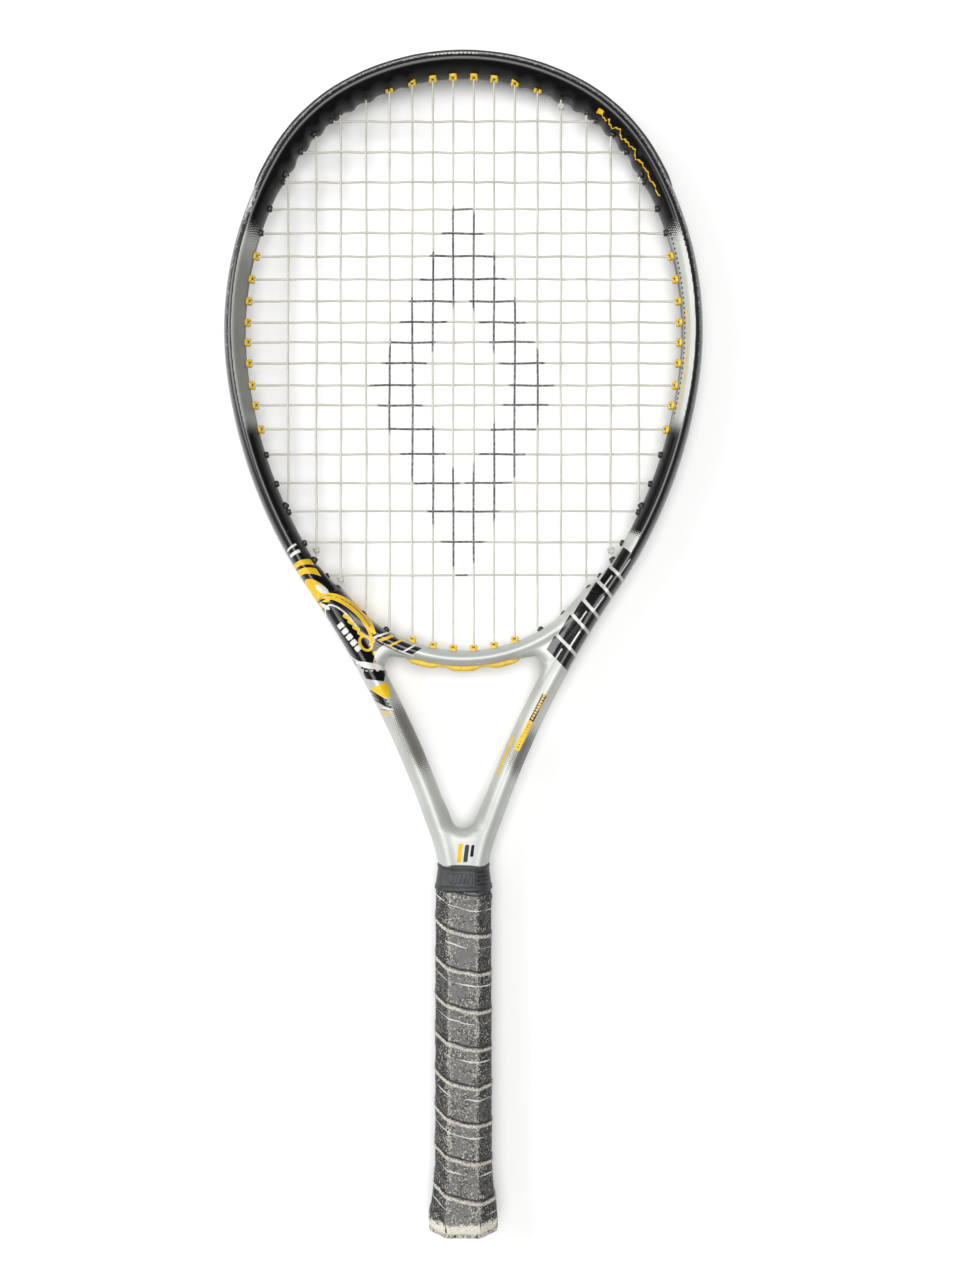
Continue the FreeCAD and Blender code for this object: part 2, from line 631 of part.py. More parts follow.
def loose_grommets(holes):
    """Separate grommets in their holes, flush with the strip's floor."""
    cutter = channel_cutter()
    return Part.makeCompound([largest(barrel(hole).cut(cutter)) for hole in holes])


# ---- bridge and its strip -----------------------------------------------------------------------
def bridge_ring(section_wire, half_angle):
    """A section drawn with X towards the bed, swept along the bridge's arc."""
    start = math.radians(-90 - half_angle)
    radius = BRIDGE_BED_RADIUS
    x = radius * math.cos(start)
    y = BRIDGE_CENTRE_Y + radius * math.sin(start)
    to_centre = V(-math.cos(start), -math.sin(start), 0)
    along = to_centre.cross(Z_UP)
    section = section_wire.copy()
    section.Placement = FreeCAD.Placement(FreeCAD.Matrix(to_centre.x, 0, along.x, x,
                                                         to_centre.y, 0, along.y, y,
                                                         0, 1, 0, 0, 0, 0, 0, 1))
    return section.revolve(V(0, BRIDGE_CENTRE_Y, 0), Z_UP, 2 * half_angle)


def gusset():
    """Flared right end of the bridge, between its arc and the arm."""
    first = bridge_point(GUSSET_ANGLE - GUSSET_LAP, BRIDGE_BED_RADIUS + BRIDGE_BEAM / 2)
    far_x, far_y, _ = crossing(GUSSET_REACH, y=GUSSET_LEVELS[0], lower=True)
    low_x, low_y, _ = crossing(GUSSET_REACH, y=GUSSET_LEVELS[1], lower=True)
    corner_x = crossing(THROAT_BEAM, y=CROTCH_LEVEL, lower=True)[0]
    fillet_x = corner_x - CROTCH_BACK
    fillet_top = V(fillet_x, bridge_outer(fillet_x) + CROTCH_RISE, 0)
    fillet_end = V(crossing(THROAT_BEAM, y=CROTCH_END, lower=True)[0], CROTCH_END, 0)
    fillet_mid = V(corner_x - CROTCH_MIDDLE[0], CROTCH_MIDDLE[1], 0)
    edges = [Part.LineSegment(first, GUSSET_LOW).toShape(),
             Part.LineSegment(GUSSET_LOW, GUSSET_HIGH).toShape(),
             Part.LineSegment(GUSSET_HIGH, V(far_x, far_y, 0)).toShape(),
             Part.LineSegment(V(far_x, far_y, 0), V(low_x, low_y, 0)).toShape(),
             Part.LineSegment(V(low_x, low_y, 0), fillet_end).toShape(),
             Part.Arc(fillet_end, fillet_mid, fillet_top).toShape(),
             Part.LineSegment(fillet_top, first).toShape()]
    plate = Part.Face(Part.Wire(edges)).extrude(V(0, 0, 2 * GUSSET_HALF_DEPTH))
    plate.translate(V(0, 0, -GUSSET_HALF_DEPTH))
    return plate


def throat_bridge(outer_frame):
    """Bridge with its flared ends, cut to the arms, with the holes and the groove for its strip."""
    ring = bridge_ring(Part.Face(oval(BRIDGE_BEAM, BRIDGE_DEPTH)), BRIDGE_HALF_ANGLE)
    body = fuse([ring, gusset(), mirrored(gusset())])
    body = body.cut(outer_frame)
    groove = rectangle(-BRIDGE_BEAM - OUTSIDE, -BRIDGE_BEAM + THROAT_GROOVE, THROAT_HALF)
    body = body.cut(bridge_ring(Part.Face(groove), THROAT_GROOVE_ANGLE))
    body = drilled(body, both_sides(BRIDGE_HOLES), BARREL_RADIUS + FIT)
    body = drilled(body, shoulder_holes(), BARREL_RADIUS + FIT)
    return largest(body)


def shoulder_holes():
    """The leaning lower holes, which pass through the bridge's ends and the arms."""
    return both_sides(MAIN_BOTTOM[BRIDGE_MAINS:] + CROSS[-2:])


def both_sides(holes):
    """The holes and their mirror images."""
    return list(holes) + [hole.mirror() for hole in holes]


def largest(shape):
    """The biggest solid of a shape."""
    return max(shape.Solids, key=lambda solid: solid.Volume)


def throat_strip():
    """Yellow strip under the bridge, thicker at its three string loops, with its six grommets."""
    half = THROAT_HALF - FIT
    base = rectangle(-BRIDGE_BEAM - THROAT_STAND, -BRIDGE_BEAM + THROAT_GROOVE - FIT, half)
    strip = bridge_ring(Part.Face(base), THROAT_STRIP_ANGLE)
    lumps = []
    for x in LUMP_OFFSETS:
        angle = math.degrees(math.asin(x / (BRIDGE_BED_RADIUS + BRIDGE_BEAM)))
        thick = rectangle(-BRIDGE_BEAM - LUMP_STAND, -BRIDGE_BEAM, half)
        lump = bridge_ring(Part.Face(thick), LUMP_ANGLE)
        lump.rotate(V(0, BRIDGE_CENTRE_Y, 0), Z_UP, angle)
        lumps.append(lump)
    holes = both_sides(BRIDGE_HOLES)
    strip = fuse([strip] + lumps + [barrel(hole) for hole in holes])
    channel = rectangle(-BRIDGE_BEAM - OUTSIDE, -BRIDGE_BEAM + THROAT_CHANNEL, THROAT_CHANNEL_HALF)
    strip = strip.cut(bridge_ring(Part.Face(channel), THROAT_GROOVE_ANGLE))
    return largest(drilled(strip, holes, BARREL_BORE))


# ---- strings ------------------------------------------------------------------------------------
def rounded_wire(points, corner):
    """Straight runs joined by tangent arcs, with a smaller radius where a run is short."""
    edges = []
    start = points[0]
    for i in range(1, len(points) - 1):
        before = (points[i] - points[i - 1])
        after = (points[i + 1] - points[i])
        turn = before.getAngle(after)
        if turn < 0.02:
            continue
        shorter = min(before.Length, after.Length)
        bend = GENTLE_CORNER if turn < GENTLE_TURN else corner
        radius = min(bend, 0.45 * shorter / math.tan(turn / 2))
        cut = radius * math.tan(turn / 2)
        into = V(before).normalize()
        out = V(after).normalize()
        first = points[i] - into * cut
        last = points[i] + out * cut
        inward = (out - into).normalize()
        middle = points[i] + inward * (radius / math.cos(turn / 2) - radius)
        edges.append(Part.LineSegment(start, first).toShape())
        edges.append(Part.Arc(first, middle, last).toShape())
        start = last
    edges.append(Part.LineSegment(start, points[-1]).toShape())
    return Part.Wire(edges)


def string_tube(points, name):
    """Round tube along the rounded route. Prints its volume against section times length."""
    wire = rounded_wire(points, LOOP_CORNER)
    direction = (points[1] - points[0]).normalize()
    circle = Part.Wire([Part.makeCircle(STRING_RADIUS, points[0], direction)])
    tube = wire.makePipeShell([circle], True, False)
    expected = math.pi * STRING_RADIUS ** 2 * wire.Length
    print(name, "length", round(wire.Length), "volume ratio", round(tube.Volume / expected, 4))
    return tube


def groove_middle(first, second):
    """A point of the groove half-way between two holes' outer ends, where the loop bends round."""
    middle = (first + second) / 2
    side = math.copysign(1.0, middle.x)
    x, y, _ = nearest(V(abs(middle.x), middle.y, 0), LOOP_DEPTH)
    return V(side * x, y, middle.z)


def nearest(point, inset):
    """The nearest place of the inset right-hand outline to a point."""
    places = [arc.at(step / 200, inset) for arc in OUTLINE for step in range(201)]
    return min(places, key=lambda place: (place[0] - point.x) ** 2 + (place[1] - point.y) ** 2)


def route(stops):
    """Points of a string through (hole, leaving) stops, in and out of the frame."""
    points = []
    for hole, leaving in stops:
        pair = [hole.mouth, hole.outer]
        if not leaving and points and hole.outer.y > LOOP_BEND_ABOVE and abs(hole.outer.x) > MAIN_OFFSETS[0]:
            points.append(groove_middle(points[-1], hole.outer))
        points += pair if leaving else pair[::-1]
    return points


def tail_point(last, target):
    """A point in the groove on the way from one hole's outside to another's, short of it."""
    way = target.outer - last.outer
    way.z = 0.0
    return last.outer + way.normalize() * (way.Length - TAIL_STAY)


def main_string():
    """One string of sixteen runs, from the eighth main on one side to the eighth on the other."""
    right = list(zip(MAIN_TOP, MAIN_BOTTOM))
    left = [(top.mirror(), bottom.mirror()) for top, bottom in right]

    def half(side):
        stops = []
        for index, (top, bottom) in enumerate(side):
            first, second = (top, bottom) if index % 2 else (bottom, top)
            stops += [(first, False), (second, True)]
        end = tail_point(side[-1][1], side[-2][1])
        return route(stops) + [end]

    return half(left)[::-1] + half(right)


def cross_string():
    """One string of nineteen runs across, from the first one at the top down."""
    stops = []
    for index, hole in enumerate(CROSS):
        pair = [hole, hole.mirror()]
        first, second = pair if index % 2 == 0 else pair[::-1]
        stops += [(first, False), (second, True)]
    start = tail_point(CROSS[0], MAIN_TOP[-1])
    end = tail_point(CROSS[-1].mirror(), MAIN_BOTTOM[-3].mirror())
    return [start] + route(stops) + [end]


def knot(centre):
    """Two turns of a tie-off hitch round a main string, with its cut tail."""
    axis = V(0, 1, 0)
    major = STRING_RADIUS * 2 + KNOT_SLACK
    turns = []
    for shift in (-KNOT_PITCH, KNOT_PITCH):
        turns.append(Part.makeTorus(major, STRING_RADIUS, centre + axis * shift, axis))
    tail = Part.makeCylinder(STRING_RADIUS, KNOT_TAIL, centre + V(major, -KNOT_TAIL / 2, 0), axis)
    return largest(fuse(turns + [tail]))


# ---- handle -------------------------------------------------------------------------------------
def octagon(half_x, half_z, y):
    """Octagonal section of the handle at a height."""
    flat_x = half_x * FACET_X
    flat_z = half_z * FACET_Z
    corners = [(half_x, -flat_z), (half_x, flat_z), (flat_x, half_z), (-flat_x, half_z),
               (-half_x, flat_z), (-half_x, -flat_z), (-flat_x, -half_z), (flat_x, -half_z)]
    points = [V(x, y, z) for x, z in corners]
    return Part.makePolygon(points + points[:1])


def handle_half(y, inset):
    """Half width and half depth of the handle at a height, less an inset."""
    for low, high in zip(HANDLE, HANDLE[1:]):
        if y <= high[0]:
            break
    share = (y - low[0]) / (high[0] - low[0])
    return (low[1] + share * (high[1] - low[1]) - inset, low[2] + share * (high[2] - low[2]) - inset)


def handle_loft(inset, low, high):
    """Octagonal solid of the handle between two heights, inset from its finished face."""
    levels = [low] + [y for y, _, _ in HANDLE if low < y < high] + [high]
    wires = [octagon(*handle_half(y, inset), y) for y in levels]
    return Part.makeLoft(wires, True, True)


def staple(centre, along, down, length, leg):
    """U-shaped staple: a crown with its length along one way and two legs down."""
    side = along.cross(down).normalize()

    def bar(start, way, reach):
        corner = start - side * (STAPLE_WIDTH / 2)
        across = down if way is along else along
        points = [corner, corner + side * STAPLE_WIDTH]
        base = Part.makePolygon([points[0], points[1], points[1] + across * STAPLE_THICK,
                                 points[0] + across * STAPLE_THICK, points[0]])
        return Part.Face(base).extrude(way * reach)

    first = centre - along * (length / 2)
    crown = bar(first, along, length)
    legs = [bar(first, down, leg), bar(first + along * (length - STAPLE_THICK), down, leg)]
    return solid_of(fuse([crown] + legs))


def cap_staples():
    """Four staples that hold the butt cap to the pallets, two on each face."""
    made = []
    for face_side in (-1, 1):
        depth = handle_half(CAP_TOP + STAPLE_SEAT, CAP_INSET)[1]
        for x in (-CAP_STAPLE_X, CAP_STAPLE_X):
            centre = V(x, CAP_TOP, face_side * depth)
            made.append(staple(centre, V(0, 1, 0), V(0, 0, -face_side), *CAP_STAPLE))
    return made


def grip_staple():
    """Staple that holds the start of the base grip to the cap."""
    depth = handle_half(GRIP_STAPLE_LEVEL + GRIP_SEAT, BASE_INSET)[1]
    return staple(V(0, GRIP_STAPLE_LEVEL, depth), V(1, 0, 0), V(0, 0, -1), *GRIP_STAPLE)


def pallets(staples, core):
    """Front and back foam shells around the shafts."""
    both = handle_loft(CAP_INSET, CAP_TOP + LAYER_GAP, GRIP_TOP - PALLET_END_GAP).cut(core)
    for piece in staples:
        both = both.cut(piece)
    wide, high, deep = HALF_SPACE
    front = both.common(Part.makeBox(wide, high, deep, V(-wide / 2, 0, LAYER_GAP / 2)))
    back = both.common(Part.makeBox(wide, high, deep, V(-wide / 2, 0, -deep - LAYER_GAP / 2)))
    return largest(front), largest(back)


def rect_prism(half, low, high):
    """Box of a half width and half depth between two heights."""
    return Part.makeBox(2 * half[0], high - low, 2 * half[1], V(-half[0], low, -half[1]))


def butt_cap(staples, core):
    """Flared cap over the end of the shafts, with the recess and window of its end plate."""
    cap = handle_loft(0.0, HANDLE[0][0], GRIP_LOW)
    foot = Part.Face(octagon(HANDLE[0][1], HANDLE[0][2], HANDLE[0][0])).extrude(V(0, -HANDLE[0][0], 0))
    upper = handle_loft(CAP_INSET, GRIP_LOW, CAP_TOP)
    cap = fuse([foot, cap, upper])
    cap = cap.cut(core)
    cap = cap.cut(rect_prism(WINDOW_HALF, -1.0, CORE_END + 1.0))
    recess = (DOOR_HALF[0] + DOOR_GAP, DOOR_HALF[1] + DOOR_GAP)
    cap = cap.cut(rect_prism(recess, -1.0, DOOR_THICK + DOOR_GAP))
    for piece in staples:
        cap = cap.cut(piece)
    return largest(cap)


def butt_cap_door():
    """End plate with two snap fingers behind it."""
    plate = rect_prism(DOOR_HALF, 0.0, DOOR_THICK)
    edges = [edge for edge in plate.Edges if abs(edge.tangentAt(edge.FirstParameter).y) > 0.9]
    plate = plate.makeFillet(DOOR_CORNER, edges)
    thick, long, wide = FINGER
    fingers = []
    for side in (-1, 1):
        x = side * (WINDOW_HALF[0] - DOOR_GAP - thick / 2) - thick / 2
        fingers.append(Part.makeBox(thick, long, wide, V(x, DOOR_THICK - FINGER_SINK, -wide / 2)))
    return solid_of(fuse([plate] + fingers))


def wrap(inset, thick, low, high):
    """Wrap whose inside and outside both end flat."""
    outer = handle_loft(inset, low, high)
    inner = handle_loft(inset + thick, low, high)
    return outer.cut(inner)


def finishing_tape():
    """Thin band around the shafts under the collar."""
    low, high = (COLLAR_BOTTOM + up for up in TAPE_SPAN)
    inside, outside = TAPE_GAPS
    return core_prism(outside, low, high).cut(core_prism(inside, low - 1.0, high + 1.0))


def grip_collar():
    """Rubber collar with a rim at each end and four short grooves beside its front panel."""
    wires = []
    for up, half_x, half_z in COLLAR_STATIONS:
        wires.append(round_rect(half_x, half_z, half_z * COLLAR_ROUND, COLLAR_BOTTOM + up))
    collar = Part.makeLoft(wires, True, True)
    collar = collar.cut(core_prism(COLLAR_BORE, COLLAR_BOTTOM - 1.0, COLLAR_TOP + 1.0))
    for step in range(RIB_COUNT):
        level = COLLAR_BOTTOM + RIB_START + RIB_PITCH * step
        collar = collar.cut(Part.makeBox(*RIB_CUT, V(RIB_CORNER[0], level, RIB_CORNER[1])))
    return largest(collar)


# ---- export -------------------------------------------------------------------------------------
def export(name, shape):
    """Write one node, moved so that the origin is at the middle of the bottom of the racket's box."""
    moved = solid_of(shape).copy()
    moved.translate(V(0, -LENGTH / 2, BUTT_HALF_DEPTH))
    moved.exportStep(os.path.join("parts", name + ".step"))
    print(name, "solids", len(moved.Solids), "valid", moved.isValid(), "volume", round(moved.Volume, 1))


def main():
    os.makedirs("parts", exist_ok=True)
    outer = frame_outer()
    core = core_prism(CORE_GAP, CORE_END - CORE_END_GAP, COLLAR_TOP)
    staples = cap_staples()
    start_staple = grip_staple()
    front, back = pallets(staples, core)
    export("frame_tube", frame_tube())
    export("throat_bridge", throat_bridge(outer))
    export("bumper_guard", bumper_guard())
    strip = side_strip()
    export("side_strip_right", strip)
    export("side_strip_left", mirrored(strip))
    export("shoulder_grommets", shoulder_grommets())
    export("top_grommets", loose_grommets(YELLOW_TOP_HOLES))
    export("right_grommets", loose_grommets(YELLOW_RIGHT_HOLES))
    export("left_grommets", loose_grommets(YELLOW_LEFT_HOLES))
    export("throat_strip", throat_strip())
    export("main_string", string_tube(main_string(), "main_string"))
    export("cross_string", string_tube(cross_string(), "cross_string"))
    top_main, cross_end_main, end_main = KNOT_MAINS
    clear = V(0, KNOT_CLEAR, 0)
    export("main_knot_right", knot(MAIN_BOTTOM[end_main].mouth + clear))
    export("main_knot_left", knot(MAIN_BOTTOM[end_main].mirror().mouth + clear))
    export("cross_knot_start", knot(MAIN_TOP[top_main].mouth - clear))
    export("cross_knot_end", knot(MAIN_BOTTOM[cross_end_main].mirror().mouth + clear))
    export("handle_pallet_front", front)
    export("handle_pallet_back", back)
    export("butt_cap", butt_cap(staples + [start_staple], core))
    export("butt_cap_door", butt_cap_door())
    export("cap_staples", Part.makeCompound(staples))
    export("grip_staple", start_staple)
    base = wrap(BASE_INSET, BASE_GRIP_THICK, GRIP_LOW + BASE_START, GRIP_TOP)
    export("base_grip", base.cut(start_staple))
    export("overgrip", wrap(0.0, OVERGRIP_THICK, GRIP_LOW + OVERGRIP_START, GRIP_TOP))
    export("finishing_tape", finishing_tape())
    export("grip_collar", grip_collar())


main()
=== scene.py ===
"""Looks of a tennis racket: painted frame, woven strings, grommets, collar and a worn overgrip.

Shapes are worked out in millimetres in the racket's working frame: X across, Y from the butt end (0)
to the tip, Z the normal of the string plane at Z = 0. metres() turns them into the row frame.
"""
import math
import bpy
import numpy as np
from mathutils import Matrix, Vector, noise


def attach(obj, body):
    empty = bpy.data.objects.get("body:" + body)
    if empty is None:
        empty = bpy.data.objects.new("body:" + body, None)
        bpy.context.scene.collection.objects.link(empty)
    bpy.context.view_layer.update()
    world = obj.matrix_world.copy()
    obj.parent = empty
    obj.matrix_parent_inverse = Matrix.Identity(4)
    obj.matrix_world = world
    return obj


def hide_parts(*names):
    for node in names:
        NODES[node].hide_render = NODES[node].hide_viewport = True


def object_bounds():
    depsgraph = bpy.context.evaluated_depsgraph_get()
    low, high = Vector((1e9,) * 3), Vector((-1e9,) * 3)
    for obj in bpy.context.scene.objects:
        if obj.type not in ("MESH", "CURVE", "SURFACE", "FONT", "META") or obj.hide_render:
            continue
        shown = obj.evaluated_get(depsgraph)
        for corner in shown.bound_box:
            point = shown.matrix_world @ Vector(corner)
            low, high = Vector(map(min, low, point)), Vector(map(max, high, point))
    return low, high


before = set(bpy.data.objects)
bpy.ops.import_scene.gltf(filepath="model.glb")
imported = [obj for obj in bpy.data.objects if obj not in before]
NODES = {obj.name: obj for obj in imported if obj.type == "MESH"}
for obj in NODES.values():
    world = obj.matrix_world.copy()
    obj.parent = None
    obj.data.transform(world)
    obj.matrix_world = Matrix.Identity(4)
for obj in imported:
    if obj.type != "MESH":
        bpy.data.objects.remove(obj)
CAD_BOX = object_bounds()

# ---- sizes shared with the CAD, in millimetres --------------------------------------------------
LENGTH = 711.0
PLANE_LIFT = 18.4                # string plane above the floor
BUMPER_STAND = 1.2
HEAD_ARCS = [(150.0, 28.0), (115.0, 31.1), (209.5, 38.3), (299.5, 26.9)]
THROAT_ARCS = [(-597.0, 15.0), (-124.0, 19.3)]
HEAD_BEAM = 12.4
THROAT_BEAM = 14.2
HEAD_DEPTH = 26.0
SHAFT_DEPTH = 24.0
GROOVE_DEPTH = 3.0
GROOVE_HALF = 3.0
GROOVE_SHARE = 0.3
YOKE_RADIUS = 8.0
YOKE_LEVEL = 248.0
YOKE_HALF_DEPTH = 11.0
BED_BOTTOM = 348.6
BRIDGE_BEAM = 9.6
BRIDGE_DEPTH = 21.0
BRIDGE_BED_RADIUS = 92.0
BRIDGE_CENTRE = BED_BOTTOM + BRIDGE_BED_RADIUS
GUSSET_ANGLE = math.radians(46.0)
GUSSET_TOP = 399.0
GUSSET_HALF_DEPTH = 9.0
STRING_RADIUS = 0.65
STRING_LIFT = 0.72
MAIN_OFFSETS = [6.2, 18.5, 31.0, 44.8, 59.0, 74.4, 89.2, 106.3]
TOP_CROSS = 669.5
CROSS_GAPS = [18.7, 18.1, 16.4, 14.5, 14.0, 13.9, 13.3, 12.8, 12.1,
              12.7, 13.4, 12.1, 14.5, 15.2, 17.5, 17.0, 18.8, 20.0]
HEAD_STAND = 2.6
LOOP_DEPTH = 1.35
THROAT_LOOP = 0.4
YELLOW_TOP = 4
YELLOW_SIDE = range(5, 14)
BRIDGE_MAINS = 3
SHOULDER_LEAN = {3: 52.0, 4: 46.0, 5: 42.0}
BUMPER_RUN = 160.0
STRIP_RUN = 416.0
KNOT_CLEAR = 3.4
HANDLE = [(0.0, 20.2, 17.5), (4.5, 21.3, 18.4), (11.0, 20.7, 17.9), (24.0, 18.7, 16.4),
          (38.0, 17.6, 15.6), (204.7, 17.2, 15.2)]
FACET_X = 0.51
FACET_Z = 0.39
COLLAR_BOTTOM = 205.0
COLLAR_TOP = 220.3
COLLAR = [(0.0, 17.3, 15.3), (2.2, 17.3, 15.3), (3.0, 16.7, 14.8), (12.4, 15.5, 12.8),
          (13.2, 15.7, 12.9), (15.3, 15.6, 12.8)]

# ---- colours, linear ----------------------------------------------------------------------------
YELLOW = (0.78, 0.51, 0.014)
DEEP_YELLOW = (0.70, 0.41, 0.01)
BLACK = (0.003, 0.003, 0.003)
SILVER = (0.52, 0.535, 0.505)
WHITE = (0.66, 0.66, 0.62)
IVORY = (0.54, 0.53, 0.47)
INK = (0.012, 0.013, 0.016)


def metres(points):
    """Working-frame millimetres to row-frame metres."""
    points = np.asarray(points, float) / 1000.0
    return points + np.array([0.0, CAD_BOX[0].y, CAD_BOX[0].z + PLANE_LIFT / 1000.0])


# ---- outline ------------------------------------------------------------------------------------
class Arc:
    """One tangent arc of the frame's outer outline, starting at (x, y) with a heading."""

    def __init__(self, x, y, heading, radius, turn_deg, run):
        self.radius = radius
        self.sign = math.copysign(1.0, radius)
        self.turn = math.radians(turn_deg)
        self.heading = heading
        self.cx = x + radius * math.sin(heading)
        self.cy = y - radius * math.cos(heading)
        self.run = run
        self.length = abs(radius) * self.turn

    def at(self, share, inset=0.0):
        """Point on the outline at a share of the arc, moved inwards by the inset, and its heading."""
        heading = self.heading - share * self.turn * self.sign
        reach = self.radius - inset
        return self.cx - reach * np.sin(heading), self.cy + reach * np.cos(heading), heading


def outline(arcs):
    """The chain of tangent arcs from the top centre down the right side."""
    chain = []
    x, y, heading, run = 0.0, LENGTH - BUMPER_STAND, 0.0, 0.0
    for radius, turn in arcs:
        arc = Arc(x, y, heading, radius, turn, run)
        chain.append(arc)
        x, y, heading = arc.at(1.0)
        run += arc.length
    return chain


OUTLINE = outline(HEAD_ARCS + THROAT_ARCS)
ARM_RUN = OUTLINE[4].run
ARM_LENGTH = OUTLINE[4].length
GROOVE_END = ARM_RUN + GROOVE_SHARE * ARM_LENGTH
BEAM_RUNS = [ARM_RUN + ARM_LENGTH * share for share in (0.0, 0.2, 0.45, 0.75)]
BEAM_GROWN = [0.0, 0.45, 0.9, 1.0]


def beam_at(run):
    """Radial width of the tube at a run length."""
    return HEAD_BEAM + (THROAT_BEAM - HEAD_BEAM) * np.interp(run, BEAM_RUNS, BEAM_GROWN)


def depth_at(run):
    """Depth of the tube at a run length."""
    return np.interp(run, [ARM_RUN, ARM_RUN + ARM_LENGTH], [HEAD_DEPTH, SHAFT_DEPTH])


def spot(run, inset=0.0):
    """Point at a run length, negative on the left side, and its outward normal."""
    reach = abs(run)
    arc = [a for a in OUTLINE if a.run <= reach][-1]
    x, y, heading = arc.at((reach - arc.run) / arc.length, inset)
    side = -1.0 if run < 0 else 1.0
    return side * x, y, -side * math.sin(heading), math.cos(heading)


def outline_place(x, y):
    """Run length along the outline and inset from it, for points on the right-hand side."""
    best = np.full(x.shape, 1e9)
    run = np.zeros(x.shape)
    inset = np.zeros(x.shape)
    for arc in OUTLINE:
        away_x = (x - arc.cx) * arc.sign
        away_y = (y - arc.cy) * arc.sign
        reach = np.hypot(away_x, away_y)
        heading = np.arctan2(-away_x, away_y)
        share = np.clip((arc.heading - heading) / (arc.turn * arc.sign), 0.0, 1.0)
        near_x, near_y, _ = arc.at(share, HEAD_BEAM / 2)
        distance = np.hypot(x - near_x, y - near_y)
        closer = distance < best
        best = np.where(closer, distance, best)
        run = np.where(closer, arc.run + share * arc.length, run)
        inset = np.where(closer, arc.sign * (abs(arc.radius) - reach), inset)
    return run, inset


def crossing(inset, x=None, y=None, lower=False):
    """Where the right-hand outline, inset by a distance, meets a vertical or a horizontal line."""
    shares = np.linspace(0.0, 1.0, 1001)
    hits = []
    for arc in OUTLINE:
        xs, ys, headings = arc.at(shares, inset)
        gap = (xs - x) if y is None else (ys - y)
        for i in np.nonzero(gap[:-1] * gap[1:] <= 0)[0]:
            hits.append((xs[i + 1], ys[i + 1], headings[i + 1]))
    return hits[-1] if lower else hits[0]


# ---- mesh helpers -------------------------------------------------------------------------------
def add_mesh(name, points, faces, fields=None):
    """Smooth-shaded mesh object from millimetre points, with float fields on its points."""
    mesh = bpy.data.meshes.new(name)
    mesh.from_pydata(metres(points).tolist(), [], [list(map(int, f)) for f in faces])
    mesh.polygons.foreach_set("use_smooth", [True] * len(mesh.polygons))
    for key, values in (fields or {}).items():
        attribute = mesh.attributes.new(key, "FLOAT", "POINT")
        attribute.data.foreach_set("value", np.asarray(values, np.float32))
    mesh.validate()
    made = bpy.data.objects.new(name, mesh)
    bpy.context.scene.collection.objects.link(made)
    return made


def grid_faces(rows, columns, loop_rows=False, loop_columns=True, base=0):
    """Quads of a grid of points, row by row."""
    faces = []
    for i in range(rows if loop_rows else rows - 1):
        low = base + i * columns
        high = base + ((i + 1) % rows) * columns
        for j in range(columns if loop_columns else columns - 1):
            k = (j + 1) % columns
            faces.append((low + j, low + k, high + k, high + j))
    return faces


class Builder:
    """Collects points and faces of several parts of one piece."""

    def __init__(self):
        self.points = []
        self.faces = []

    def grid(self, rings, closed=False, caps=True):
        """Add rings of points joined into a skin, with flat ends unless they close on themselves."""
        base = len(self.points)
        count = len(rings[0])
        for ring in rings:
            self.points.extend(list(map(float, p)) for p in ring)
        self.faces.extend(grid_faces(len(rings), count, closed, True, base))
        if caps and not closed:
            self.faces.append(tuple(range(base + count - 1, base - 1, -1)))
            last = base + (len(rings) - 1) * count
            self.faces.append(tuple(range(last, last + count)))

    def make(self, name, fields=None):
        """The object of all that was added, with its faces turned outwards."""
        made = add_mesh(name, self.points, self.faces, fields)
        bpy.context.view_layer.objects.active = made
        for each in bpy.context.selected_objects:
            each.select_set(False)
        made.select_set(True)
        bpy.ops.object.mode_set(mode="EDIT")
        bpy.ops.mesh.select_all(action="SELECT")
        bpy.ops.mesh.normals_make_consistent(inside=False)
        bpy.ops.object.mode_set(mode="OBJECT")
        return made


def tube_rings(points, radius, sides=10):
    """Rings of a round tube along points, without twist."""
    points = np.asarray(points, float)
    tangents = np.gradient(points, axis=0)
    tangents /= np.linalg.norm(tangents, axis=1)[:, None]
    side = np.cross(tangents[0], [0.0, 0.0, 1.0])
    if np.linalg.norm(side) < 1e-3:
        side = np.cross(tangents[0], [1.0, 0.0, 0.0])
    rings = []
    turns = np.linspace(0.0, 2.0 * math.pi, sides, endpoint=False)
    for point, tangent in zip(points, tangents):
        side = side - tangent * np.dot(side, tangent)
        side /= np.linalg.norm(side)
        up = np.cross(tangent, side)
        rings.append(point + radius * (np.cos(turns)[:, None] * side + np.sin(turns)[:, None] * up))
    return rings


# ---- frame skin ---------------------------------------------------------------------------------
def ramp(value, *stops):
    """Values at stops joined by straight runs: (place, amount) pairs."""
    return np.interp(value, [s[0] for s in stops], [s[1] for s in stops])


def soft_min(a, b, reach):
    """Smaller of two fields, blended where they are within reach of each other."""
    share = np.clip(0.5 + 0.5 * (b - a) / reach, 0.0, 1.0)
    return b * (1.0 - share) + a * share - reach * share * (1.0 - share)


def soft_max(a, b, reach):
    """Larger of two fields, blended."""
    return -soft_min(-a, -b, reach)


def oval_field(across, up, half_across, half_up):
    """Signed distance, nearly, from an oval."""
    size = np.sqrt((across / half_across) ** 2 + (up / half_up) ** 2)
    slope = np.sqrt((across / half_across ** 2) ** 2 + (up / half_up ** 2) ** 2)
    return size * (size - 1.0) / np.maximum(slope, 1e-6)


